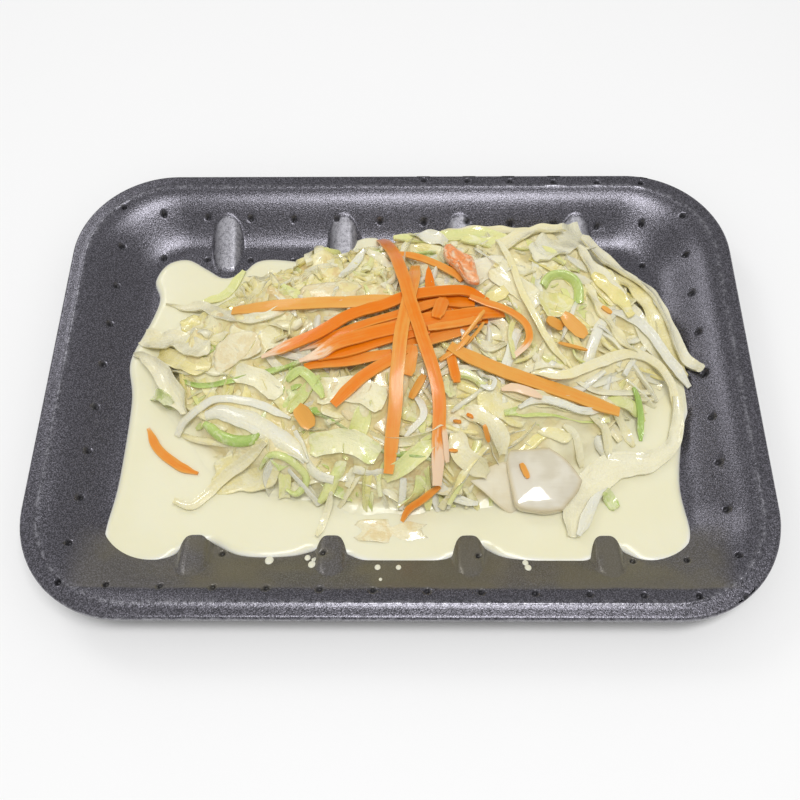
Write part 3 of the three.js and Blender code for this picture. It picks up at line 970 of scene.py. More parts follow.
def dress(name: str, mesh: Mesh, material: Material, node: str) -> Object:
    """Turns a mesh in millimetres into a finished piece of the part.

    Args:
        name: The piece's name.
        mesh: Its mesh, in millimetres, in place.
        material: Its material.
        node: The frame's node that it stands for.

    Returns:
        The piece.
    """
    mesh.transform(Matrix.Scale(MM, 4))
    mesh.polygons.foreach_set("use_smooth", [True] * len(mesh.polygons))
    mesh.materials.append(material)
    piece = bpy.data.objects.new(name, mesh)
    bpy.context.scene.collection.objects.link(piece)
    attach(piece, BODY)
    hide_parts(node)
    mesh.calc_loop_triangles()
    LOG.info("%s: %d triangles", name, len(mesh.loop_triangles))
    return piece


def mesh_of(name: str, bm: BMesh) -> Mesh:
    """Ends a bmesh as a mesh of this name.

    Args:
        name: The mesh's name.
        bm: The bmesh, which is freed.

    Returns:
        The mesh.
    """
    mesh = bpy.data.meshes.new(name)
    bm.to_mesh(mesh)
    bm.free()
    return mesh


def note(mesh: Mesh, facts: Array) -> None:
    """Gives each vertex its three values, which the materials read.

    Args:
        mesh: The mesh.
        facts: A row of three values for each vertex, or one row for all.
    """
    layer = mesh.attributes.new("facts", "FLOAT_COLOR", "POINT")
    full = np.ones((len(mesh.vertices), 4), np.float32)
    full[:, :3] = facts
    layer.data.foreach_set("color", full.ravel())


def map_grain(mesh: Mesh, grain: Array) -> None:
    """Gives the mesh its map in millimetres, from a value for each vertex.

    Args:
        mesh: The mesh.
        grain: A row of two places for each vertex.
    """
    layer = mesh.uv_layers.new(name="grain")
    corners = np.zeros(len(mesh.loops), np.int32)
    mesh.loops.foreach_get("vertex_index", corners)
    layer.data.foreach_set("uv", grain[corners].astype(np.float32).ravel())


def block(along: int, across: int) -> Mesh:
    """A unit block cut into `along` and `across` steps, to be bent into a strip or leaf.

    Args:
        along: Steps along x.
        across: Steps along y.

    Returns:
        The mesh.
    """
    bm = bmesh.new()
    bmesh.ops.create_cube(bm, size=1.0)
    for axis, steps in ((0, along), (1, across)):
        edges = [e for e in bm.edges if abs(e.verts[0].co[axis] - e.verts[1].co[axis]) > 1e-6]
        if steps > 1:
            bmesh.ops.subdivide_edges(bm, edges=edges, cuts=steps - 1, use_grid_fill=True)
    return mesh_of("block", bm)


def places_of(mesh: Mesh) -> Array:
    """The mesh's vertex places as rows.

    Args:
        mesh: The mesh.

    Returns:
        An array of x, y and z.
    """
    flat = np.zeros(3 * len(mesh.vertices), np.float32)
    mesh.vertices.foreach_get("co", flat)
    return flat.reshape(-1, 3).astype(float)


def spun(profile: Iterable[Sequence[float]], steps: int) -> BMesh:
    """A profile of x and z, spun round the z axis into a closed skin.

    Args:
        profile: Places of x and z, in order.
        steps: Steps round the axis.

    Returns:
        The skin.
    """
    bm = bmesh.new()
    verts = [bm.verts.new((x, 0.0, z)) for x, z in profile]
    edges = [bm.edges.new(pair) for pair in zip(verts, verts[1:])]
    bmesh.ops.spin(
        bm, geom=verts + edges, cent=(0, 0, 0), axis=(0, 0, 1), dvec=(0, 0, 0), angle=2 * math.pi,
        steps=steps, use_merge=True, use_duplicate=False)
    bmesh.ops.remove_doubles(bm, verts=bm.verts[:], dist=1e-5)
    bmesh.ops.recalc_face_normals(bm, faces=bm.faces[:])
    return bm


def square_grid(count: int) -> tuple[Array, ...]:
    """Places of a square grid from -1 to 1, `count` points each way."""
    return tuple(part.ravel() for part in np.meshgrid(*[np.linspace(-1, 1, count)] * 2))


def bent(name: str, bm: BMesh, points: Sequence[Array], facts: Sequence[Array],
         grain: Sequence[Array]) -> Mesh:
    """Ends a row of unit blocks as one mesh and bends each to its own form.

    Args:
        name: The mesh's name.
        bm: The blocks, one after the other.
        points: For each block, the places that its vertices move to.
        facts: For each block, the three values of its vertices.
        grain: For each block, the map of its vertices.

    Returns:
        The mesh, in millimetres.
    """
    bmesh.ops.recalc_face_normals(bm, faces=bm.faces[:])
    mesh = mesh_of(name, bm)
    mesh.vertices.foreach_set("co", np.vstack(points).astype(np.float32).ravel())
    note(mesh, np.vstack(facts))
    map_grain(mesh, np.vstack(grain))
    mesh.update()
    return mesh


# ---------------- strips, leaves and bits


@dataclass
class Strip:
    """A strip of cabbage or carrot and how it lies.

    Attributes:
        plan: Places in plan that its middle line runs through.
        wide: Its width.
        thick: Its thickness.
        tint: Its place on the material's colour scale.
        stiff: How little it bends to follow what lies under it.
        sink: How deep it lies in what lies under it.
        roll: Turn about its own line at the start.
        twist: Further turn along its length.
        curl: How far its edges rise, as a share of its width.
        ruffle: How far its edges wave up and down.
        ends: Width of both ends as a share of the full width.
        coat: How much dressing covers it at the start, in the middle and at the end.
        crest: Height of an arch over its middle.
        square: Whether it is cut straight and lies taut, as a carrot strip does.
        lens: Whether its section is thick in the middle, as a rib's is.
        widths: Its width along its length, as shares of the full width.
        phase: Shifts its small irregularities.
        cut: How far from its ends it reaches its full width.
        over: How much of what lies under it stays under it, up to 1.
        rise: How far its last end stands up.
    """

    plan: Points
    wide: float
    thick: float = 1.0
    tint: float = 0.3
    stiff: int = 8
    sink: float = 0.2
    roll: float = 0.0
    twist: float = 0.0
    curl: float = 0.1
    ruffle: float = 0.0
    ends: tuple[float, float] = (0.5, 0.5)
    coat: tuple[float, float, float] = (0.0, 0.0, 0.0)
    crest: float = 0.0
    square: bool = False
    lens: bool = False
    widths: tuple[float, ...] = (1.0, 1.0)
    phase: float = 0.0
    cut: float = 6.0
    over: float = 0.88
    rise: float = 0.0

    def lay(self, relief: Relief) -> "Laid":
        """Lays the strip on what is there, and adds it to the relief.

        Args:
            relief: What it lies on.

        Returns:
            The strip in its place.
        """
        count = 33
        line = spline(self.plan, count)
        ahead = np.gradient(line, axis=0)
        length = float(np.linalg.norm(np.diff(line, axis=0), axis=1).sum())
        ahead /= np.maximum(np.linalg.norm(ahead, axis=1, keepdims=True), 1e-9)
        aside = np.stack([-ahead[:, 1], ahead[:, 0]], axis=1)
        off_middle = 0.38
        under = [
            relief.at(*(line + aside * self.wide * side).T) for side in (-off_middle, 0.0, off_middle)]
        share = np.linspace(0, 1, count)
        if self.square:
            bends = int(np.clip(length / 18, 1, 3))
        else:
            bends = int(np.clip(length / (4.0 + self.stiff), 2, 7))
        forms = np.polynomial.chebyshev.chebvander(2 * share - 1, bends)
        z = forms @ settled(forms, np.max(under, axis=0), self.over)
        z = np.minimum(z, np.max(under) + 0.3) - self.sink + self.thick / 2
        z = z + self.crest * np.sin(math.pi * share) + self.rise * share ** 2
        lean = np.arctan2(under[2] - under[0], 2 * off_middle * self.wide) * 0.7
        lean = forms[:, :3] @ settled(forms[:, :3], lean, 0.5) * (0.5 if self.square else 1.0)
        roll = np.clip(lean, -0.8, 0.8) + self.roll + self.twist * share
        laid = Laid(self, length, np.column_stack([line, z]), roll)
        along, across = max(int(length / 0.45), 4), max(int(self.wide / 0.4), 3)
        s, c = np.meshgrid(np.linspace(0, 1, along), np.linspace(-1, 1, across))
        relief.raise_to(laid.points(s.ravel(), c.ravel(), np.ones(s.size)))
        return laid


@dataclass
class Laid:
    """A strip in its place."""

    strip: Strip
    length: float
    line: Array
    roll: Array

    def points(self, s: Array, c: Array, side: Array) -> Array:
        """Points of the strip.

        Args:
            s: Share of the length.
            c: Place across, from -1 to 1.
            side: 1 on the upper face and -1 on the lower.

        Returns:
            An array of x, y and z.
        """
        strip = self.strip
        knots = np.linspace(0, 1, len(self.line))
        middle = np.stack([np.interp(s, knots, axis) for axis in self.line.T], axis=1)
        slope = np.gradient(self.line, axis=0)
        ahead = np.stack([np.interp(s, knots, axis) for axis in slope.T], axis=1)
        ahead /= np.linalg.norm(ahead, axis=1, keepdims=True)
        flat = np.stack([-ahead[:, 1], ahead[:, 0], np.zeros(len(s))], axis=1)
        flat /= np.maximum(np.linalg.norm(flat, axis=1, keepdims=True), 1e-6)
        rise = np.cross(ahead, flat)
        roll = np.interp(s, knots, self.roll)[:, None]
        across = flat * np.cos(roll) + rise * np.sin(roll)
        up = rise * np.cos(roll) - flat * np.sin(roll)
        first, last = strip.ends
        reach = min(strip.cut / self.length, 0.22)
        taper = np.minimum(
            first + (1 - first) * smooth(0, reach, s), last + (1 - last) * smooth(0, reach, 1 - s))
        hand, run = np.sign(c), self.length * s
        wobble = 0.2 * np.sin(0.42 * run + strip.phase + 1.9 * hand)
        wobble = wobble + 0.08 * np.sin(1.05 * run + 2.1 * strip.phase - 1.3 * hand)
        wobble = wobble * min(strip.wide / 4.0, 1.0) * (0.35 if strip.square else 1.0)
        body = np.sqrt(1.0 - 0.82 * c ** 2) if strip.lens else np.where(np.abs(c) > 0.93, 0.72, 1.0)
        share = np.interp(s, np.linspace(0, 1, len(strip.widths)), strip.widths)
        half = 0.5 * strip.wide * taper * share + wobble * taper
        wave = strip.ruffle * c * np.abs(c) * np.sin(2 * math.pi * self.length * s / 9.0 + strip.phase)
        bend = strip.curl * strip.wide * (c ** 2 - 0.33)
        lift = bend + wave + 0.5 * side * strip.thick * body * (0.6 + 0.4 * taper)
        return middle + across * (c * half)[:, None] + up * lift[:, None]

    def facts(self, s: Array, c: Array) -> Array:
        """Colour value, coat and place across at points of the strip.

        Args:
            s: Share of the length.
            c: Place across, from -1 to 1.

        Returns:
            A row of three values for each point.
        """
        start, middle, end = self.strip.coat
        coat = np.interp(s, [0.0, 0.3, 0.7, 1.0], [start, middle, middle, end])
        return np.stack([np.full(len(s), float(self.strip.tint)), coat, np.abs(c)], axis=1)


def joined_strips(name: str, strips: Sequence[Laid], along: int, across: int) -> Mesh:
    """One mesh of many laid strips, each bent from a block.

    Args:
        name: The mesh's name.
        strips: The strips in their places.
        along: Steps along each strip.
        across: Steps across each strip.

    Returns:
        The mesh, in millimetres.
    """
    unit = block(along, across)
    at = places_of(unit)
    s, c, side = at[:, 0] + 0.5, 2.0 * at[:, 1], np.sign(at[:, 2])
    square = np.sign(c) * np.abs(c) ** 0.6
    bm = bmesh.new()
    points, facts, grain = [], [], []
    for number, laid in enumerate(strips):
        bm.from_mesh(unit)
        cross = c if laid.strip.lens else square
        points.append(laid.points(s, cross, side))
        facts.append(laid.facts(s, cross))
        offset = np.array([37.0 * number, 11.0 * number])
        grain.append(np.stack([s * laid.length, cross * laid.strip.wide / 2 + side], axis=1) + offset)
    mesh = bent(name, bm, points, facts, grain)
    mesh.set_sharp_from_angle(angle=math.radians(48))
    return mesh


@dataclass
class Leaf:
    """A thin wavy piece of leaf, lying over a place in plan."""

    at: tuple[float, float]
    long: float
    wide: float
    turn: float = 0.0
    thick: float = 0.7
    tint: float = 0.4
    wave: float = 1.2
    dish: float = 1.5
    tilt: tuple[float, float] = (0.0, 0.0)
    lift: float = 0.3
    phase: float = 0.0
    coat: float = 0.2

    def spread(self, a: Array, b: Array) -> Array:
        """Places along and across the leaf, in millimetres, from places on a unit square.

        Args:
            a: Places along the unit square.
            b: Places across it.

        Returns:
            A row of places along the leaf and one of places across it.
        """
        angle = np.arctan2(b, a)
        edge = (np.abs(np.cos(angle)) ** 5 + np.abs(np.sin(angle)) ** 5) ** -0.2
        edge = edge + 0.1 * np.sin(3 * angle + self.phase) + 0.05 * np.sin(5 * angle + 2.3 * self.phase)
        reach = np.maximum(np.abs(a), np.abs(b)) * (edge + 0.03 * np.sin(11 * angle + 3.1 * self.phase))
        return np.stack([reach * np.cos(angle) * self.long, reach * np.sin(angle) * self.wide])

    def forms(self, u: Array, v: Array) -> Array:
        """The plain bends that the leaf can take, at places on it."""
        a, b = u / self.long, v / self.wide
        return np.column_stack([np.ones(len(a)), a, b, a * a, a * b, b * b])

    def settle(self, relief: Relief) -> Array:
        """How the leaf bends to what lies under it.

        Args:
            relief: What it lies on.

        Returns:
            A weight for each plain bend.
        """
        u, v = self.spread(*square_grid(15))
        x, y = self.turned(u, v)
        return settled(self.forms(u, v), relief.at(self.at[0] + x, self.at[1] + y), 0.85)

    def turned(self, u: Array, v: Array) -> tuple[Array, Array]:
        """Places in plan from its middle."""
        return (u * math.cos(self.turn) - v * math.sin(self.turn),
                u * math.sin(self.turn) + v * math.cos(self.turn))

    def points(self, bends: Array, a: Array, b: Array, side: Array) -> Array:
        """Points of the leaf, once settled, from places on its unit square.

        Args:
            bends: A weight for each plain bend.
            a: Places along the unit square.
            b: Places across it.
            side: 1 on the upper face and -1 on the lower.

        Returns:
            An array of x, y and z.
        """
        u, v = self.spread(a, b)
        x, y = self.turned(u, v)
        angle, out = np.arctan2(b, a), np.maximum(np.abs(a), np.abs(b))
        ripple = self.wave * out ** 2 * np.sin(3 * angle + 1.7 * self.phase)
        ripple = ripple + 0.3 * self.wave * np.sin(0.55 * u + self.phase)
        slant = u * self.tilt[0] + v * self.tilt[1]
        body = 0.5 * side * self.thick * (1.0 - 0.55 * out ** 2)
        z = self.forms(u, v) @ bends + self.lift + ripple + self.dish * (out ** 2 - 0.4) + slant + body
        return np.column_stack([self.at[0] + x, self.at[1] + y, z])


def joined_leaves(name: str, leaves: Sequence[Leaf], relief: Relief, steps: int) -> Mesh:
    """One mesh of many leaves, each bent from a block, laid one after the other.

    Args:
        name: The mesh's name.
        leaves: The leaves, lowest first.
        relief: What they lie on, which rises with each.
        steps: Steps along and across each leaf.

    Returns:
        The mesh, in millimetres.
    """
    unit = block(steps, steps)
    at = places_of(unit)
    a, b, side = 2 * at[:, 0], 2 * at[:, 1], np.sign(at[:, 2])
    bm = bmesh.new()
    points, facts, grain = [], [], []
    dense_a, dense_b = square_grid(36)
    for number, leaf in enumerate(leaves):
        bm.from_mesh(unit)
        bends = leaf.settle(relief)
        points.append(leaf.points(bends, a, b, side))
        dense = leaf.points(bends, dense_a, dense_b, np.ones(dense_a.size))
        dense[:, 2] -= 0.1
        relief.raise_to(dense)
        tint, coat = np.full(a.size, leaf.tint), np.full(a.size, leaf.coat)
        facts.append(np.column_stack([tint, coat, np.hypot(a, b)]))
        offset = np.array([31.0 * number, 17.0 * number])
        grain.append(np.stack([a * leaf.long, b * leaf.wide], axis=1) + offset)
    return bent(name, bm, points, facts, grain)


# ---------------- sub-assemblies


@dataclass
class FoamTray:
    """The foam tray with ribs, rim and perforations."""

    form: TrayForm
    pool: PoolForm
    heap: HeapForm
    wall_step: float = 1.4
    floor_step: float = 2.2
    edge_round: float = 0.7
    crease: float = 0.28
    crease_half: float = 0.42
    # Half width of the painted highlight along the rim's crease.
    line_half: float = 0.5
    apron: float = 1.03
    rib_spot: tuple[float, float] = (6.0, 11.5)
    pit_spot: tuple[float, float] = (2.2, 2.2)

    def lines(self, size: float) -> Array:
        """Places of the grid's lines across the tray, close on rim and wall.

        Args:
            size: The tray's size across the lines.

        Returns:
            The places, in order.
        """
        rim = [0.0, 1.2, 2.6, 3.6, 4.15, 4.55, 4.95]
        wall_end = self.form.rim_width + self.form.wall_run + 4
        wall = list(np.linspace(6.0, wall_end, int((wall_end - 6.0) / self.wall_step)))
        floor_half = size / 2 - wall_end
        floor = np.linspace(-floor_half, floor_half, int(2 * floor_half / self.floor_step))
        insets = np.array(rim + wall[:-1])
        return np.concatenate([-size / 2 + insets, floor, (size / 2 - insets)[::-1]])

    def rounded(self, x: float, y: float) -> tuple[float, float]:
        """Moves a point of a rectangle with sharp corners to the rounded one.

        Args:
            x: Place along the tray.
            y: Place across it.

        Returns:
            The new place.
        """
        form = self.form
        inset = min(form.length / 2 - abs(x), form.width / 2 - abs(y))
        radius = float(form.corner(np.array(inset)))
        half_x, half_y = form.length / 2 - inset, form.width / 2 - inset
        over_x, over_y = abs(x) - (half_x - radius), abs(y) - (half_y - radius)
        if over_x <= 0 or over_y <= 0:
            return x, y
        angle = math.radians(45) * (over_y / radius if over_x >= over_y else 2 - over_x / radius)
        new_x = half_x - radius + radius * math.cos(angle)
        new_y = half_y - radius + radius * math.sin(angle)
        return math.copysign(new_x, x), math.copysign(new_y, y)

    def sheet(self) -> BMesh:
        """A grid in the tray's plan.

        Returns:
            The grid.
        """
        xs, ys = self.lines(self.form.length), self.lines(self.form.width)
        bm = bmesh.new()
        bmesh.ops.create_grid(bm, x_segments=len(xs) - 1, y_segments=len(ys) - 1, size=1.0)
        for vert in bm.verts:
            i = round((vert.co.x + 1) / 2 * (len(xs) - 1))
            j = round((vert.co.y + 1) / 2 * (len(ys) - 1))
            vert.co.x, vert.co.y = self.rounded(xs[i], ys[j])
        return bm

    def refine(self, bm: BMesh, spots: Sequence[tuple[float, float, float, float]],
               cuts: int) -> None:
        """Divides the faces round some spots.

        Args:
            bm: What is divided.
            spots: Middle and half sizes of each spot, in plan.
            cuts: How often each edge is cut.
        """
        near = set()
        for face in bm.faces:
            middle = face.calc_center_median()
            for x, y, half_x, half_y in spots:
                if abs(middle.x - x) < half_x and abs(middle.y - y) < half_y:
                    near.update(face.edges)
                    break
        bmesh.ops.subdivide_edges(bm, edges=list(near), cuts=cuts, use_grid_fill=True)

    def covered(self, x: Array, y: Array) -> Array:
        """True where food hides the tray."""
        return self.pool.holds(x, y) | (self.heap.share(x, y) < self.apron)

    def upper_face(self, pits: Array) -> Mesh:
        """The inner face with its ribs, crease and perforations.

        Args:
            pits: Plan places of the perforations.

        Returns:
            The face, in millimetres.
        """
        form = self.form
        bm = self.sheet()
        ribs = [
            ((rib - (form.rib_count - 1) / 2) * form.rib_pitch, side * form.rib_centre, *self.rib_spot)
            for rib in range(form.rib_count) for side in (-1, 1)]
        self.refine(bm, ribs + [(x, y, *self.pit_spot) for x, y in pits], 3)
        plan = np.array([vert.co[:2] for vert in bm.verts])
        x, y = plan[:, 0], plan[:, 1]
        z = form.ribs(x, y)
        z += self.crease * np.exp(-((form.inset(x, y) - form.rim_width) / self.crease_half) ** 2)
        depth = np.zeros(len(x))
        for px, py in pits:
            depth = np.maximum(depth, 1.0 - smooth(0.25, form.pit_radius, np.hypot(x - px, y - py)))
        z -= form.pit_depth * depth
        for vert, height in zip(bm.verts, z):
            vert.co.z = height
        return mesh_of("upper", bm)

    def closed(self, upper: Mesh) -> Mesh:
        """The upper face joined to an underside by a rounded rim.

        Args:
            upper: The upper face.

        Returns:
            The tray, in millimetres.
        """
        form, bm = self.form, self.sheet()
        for vert in bm.verts:
            inset = float(form.inset(np.array(vert.co.x), np.array(vert.co.y)))
            vert.co.z = float(form.inner(np.array(inset - form.under_shift))) - form.foam
        bmesh.ops.reverse_faces(bm, faces=bm.faces[:])
        bm.from_mesh(upper)
        rims = [edge for edge in bm.edges if edge.is_boundary]
        bmesh.ops.bridge_loops(bm, edges=rims)
        bmesh.ops.recalc_face_normals(bm, faces=bm.faces[:])
        bmesh.ops.bevel(
            bm, geom=rims, offset=self.edge_round, offset_type="OFFSET", segments=3, profile=0.5,
            affect="EDGES", material=-1)
        return mesh_of("foam_tray", bm)

    def build(self, finish: FoamFinish) -> Object:
        """Makes the tray, and marks its perforations for painted shade, and its rim's line and what
        sticks out for painted highlights.

        Args:
            finish: Its finish.

        Returns:
            The piece.
        """
        form = self.form
        pits = form.pits(self.covered)
        mesh = self.closed(self.upper_face(pits))
        x, y, z = places_of(mesh).T
        inset = form.inset(x, y)
        on_top = z > form.inner(inset) - form.pit_depth - 0.4
        # Painted shade: a dark ring in each perforation.
        pit = np.zeros(len(x))
        for px, py in pits:
            away = np.hypot(x - px, y - py)
            pit = np.maximum(pit, (smooth(0.05, 0.4, away) - smooth(0.5, 1.1, away)) * on_top)
        # Painted highlight along the rim's crease.
        line = np.exp(-((inset - form.rim_width) / self.line_half) ** 2) * on_top
        # Painted highlight along the outer top edge; the ribs get 2, for a painted highlight on those
        # at the back.
        brink = np.where(z > form.height - form.foam - 0.2, 1.0 - smooth(0.1, 0.8, inset), 0.0)
        swell = form.ribs(x, y) - form.inner(inset)
        brink = np.where(on_top, np.maximum(brink, 2.0 * smooth(0.1, 0.9, swell)), brink)
        note(mesh, np.column_stack([pit, line, brink]))
        return dress("foam_tray", mesh, finish.build(), "tray")


@dataclass
class Dressing:
    """The pool of dressing, a few drops beside it, and the coat that fills the heap's gaps."""

    form: PoolForm
    heap: HeapForm
    around: int = 420
    lip_rings: int = 7

    def build_pool(self, finish: DressingFinish) -> Object:
        """Makes the pool: a lip spun round and moved to the shore, with a flat top and underside.

        Args:
            finish: Its finish.

        Returns:
            The piece.
        """
        form = self.form
        shares = [0.0, *(1.0 - np.cos(np.linspace(0.15, 1, self.lip_rings) * math.pi / 2))]
        last = len(shares)
        bm = spun([(2.0 * last, 0.0)] + [(2.0 * last - k, 1.0 + k) for k in range(last)], self.around)
        shore = form.outline(self.around)
        ahead = np.roll(shore, -1, axis=0) - np.roll(shore, 1, axis=0)
        inward = np.stack([ahead[:, 1], -ahead[:, 0]], axis=1)
        inward /= np.linalg.norm(ahead, axis=1, keepdims=True)
        ground = np.minimum(form.tray.ribs(shore[:, 0], shore[:, 1]), form.level - 0.15)
        facts = []
        for vert in bm.verts:
            k = round(math.atan2(vert.co.y, vert.co.x) / (2 * math.pi) * self.around) % self.around
            ring = round(vert.co.z) - 1
            share = shares[max(ring, 0)]
            rise = math.sqrt(max(1.0 - (1.0 - share) ** 2, 0.0))
            plan = shore[k] + inward[k] * form.lip * share
            sole = ground[k] - 0.05 if ring >= 0 else form.tray.foam + 0.02
            vert.co = Vector((*plan, sole + (form.level - ground[k]) * rise))
            # Share of the painted edge highlight, full at the shore and gone partway up the lip.
            facts.append((max(0.0, 1.0 - share * 2.2), 0.0, 0.0))
        open_edges = [edge for edge in bm.edges if edge.is_boundary]
        for brim in (True, False):
            level = [edge for edge in open_edges if (edge.verts[0].co.z > form.level - 0.4) == brim]
            bmesh.ops.triangle_fill(bm, edges=level, use_beauty=True)
        bmesh.ops.recalc_face_normals(bm, faces=bm.faces[:])
        mesh = mesh_of("dressing_pool", bm)
        note(mesh, np.array(facts))
        return dress("dressing_pool", mesh, finish.build(), "dressing")

    def build_drops(self, finish: DressingFinish) -> Object:
        """Makes the few drops and the drips that lie beside the pool.

        Args:
            finish: Their finish.

        Returns:
            The piece.
        """
        drops = (
            (-25, -59.5, 1.1), (-24.6, -57.8, 0.7), (-6, -60.5, 0.9), (0, -60.5, 0.8), (-5, -65, 0.5),
            (37, -60.5, 1.0), (-37.5, -58, 1.3), (36.5, -58.7, 0.9), (-26.5, -57, 0.9))
        bm = bmesh.new()
        for x, y, size in drops:
            made = bmesh.ops.create_uvsphere(bm, u_segments=16, v_segments=8, radius=size)
            for vert in made["verts"]:
                ground = float(self.form.tray.ribs(np.array(x + vert.co.x), np.array(y + vert.co.y)))
                vert.co = Vector((x + vert.co.x, y + vert.co.y * 1.2, ground + 0.45 * vert.co.z))
        mesh = mesh_of("dressing_drops", bm)
        # The drops get part of the painted edge highlight.
        note(mesh, np.full((len(mesh.vertices), 3), (0.3, 0.0, 0.0)))
        return dress("dressing_drops", mesh, finish.build(), "dressing")

    def build_coat(self, relief: Relief, sunk: float, finish: CoatFinish) -> Object:
        """Makes the coat: a skin that follows the heap and fills the gaps between its pieces.

        Args:
            relief: What lies in the tray.
            sunk: How far it lies under the softened top of the heap.
            finish: Its finish.

        Returns:
            The piece.
        """
        rings, steps, apron = 128, 440, 1.09
        top = [(rings + 1.0 - k, 1.0 + k) for k in range(rings)]
        bm = spun([(0.0, 0.0), (rings + 1.0, 0.0), *top, (0.0, 200.0)], steps)
        fill = relief.blurred(1.1) - sunk * (1.0 - 0.9 * self.heap.mushy(relief.gx, relief.gy))
        rng, ripples = np.random.default_rng(SEED), 14
        waves = rng.normal(size=(ripples, 2)) * 0.45
        phases = rng.uniform(0, 2 * math.pi, ripples)
        facts = []
        for vert in bm.verts:
            out = math.hypot(vert.co.x, vert.co.y) / (rings + 1.0)
            angle = math.atan2(vert.co.y, vert.co.x)
            low = vert.co.z < 0.5
            uneven = 0.03 * math.sin(7 * angle + 1.0) + 0.018 * math.sin(17 * angle + 2.0)
            reach = float(self.heap.reaches(np.array(angle))) * out * apron * (1.0 + uneven * out ** 3)
            x = self.heap.centre[0] + reach * math.cos(angle)
            y = self.heap.centre[1] + reach * math.sin(angle)
            foot = float(smooth(0.93, 1.02, np.array(out * apron)))
            mush = float(self.heap.mushy(np.array(x), np.array(y)))
            soaked = 0.8 * float(smooth(-20, -32, np.array(y)) * smooth(-24, -10, np.array(x)))
            bare = float(self.heap.bare(np.array(x), np.array(y)))
            facts.append((max(foot, bare * 0.7), max(mush, soaked), self.heap.pale(x, y)))
            if low:
                vert.co = Vector((x, y, self.form.tray.foam + 0.1))
                continue
            bumps = float(np.sum(np.sin(waves @ np.array([x, y]) + phases))) / ripples
            z = float(relief.read(fill, np.array(x), np.array(y))) + (0.5 + 2.6 * mush) * bumps
            brim = self.form.level + 1.6 * (1.0 - out) * 6.0 - 0.45
            vert.co = Vector((x, y, z * (1 - foot) + min(brim, z + 0.6) * foot))
        mesh = mesh_of("dressing_coat", bm)
        note(mesh, np.array(facts))
        return dress("dressing_coat", mesh, finish.build(), "slaw")


# ---------------- the heap


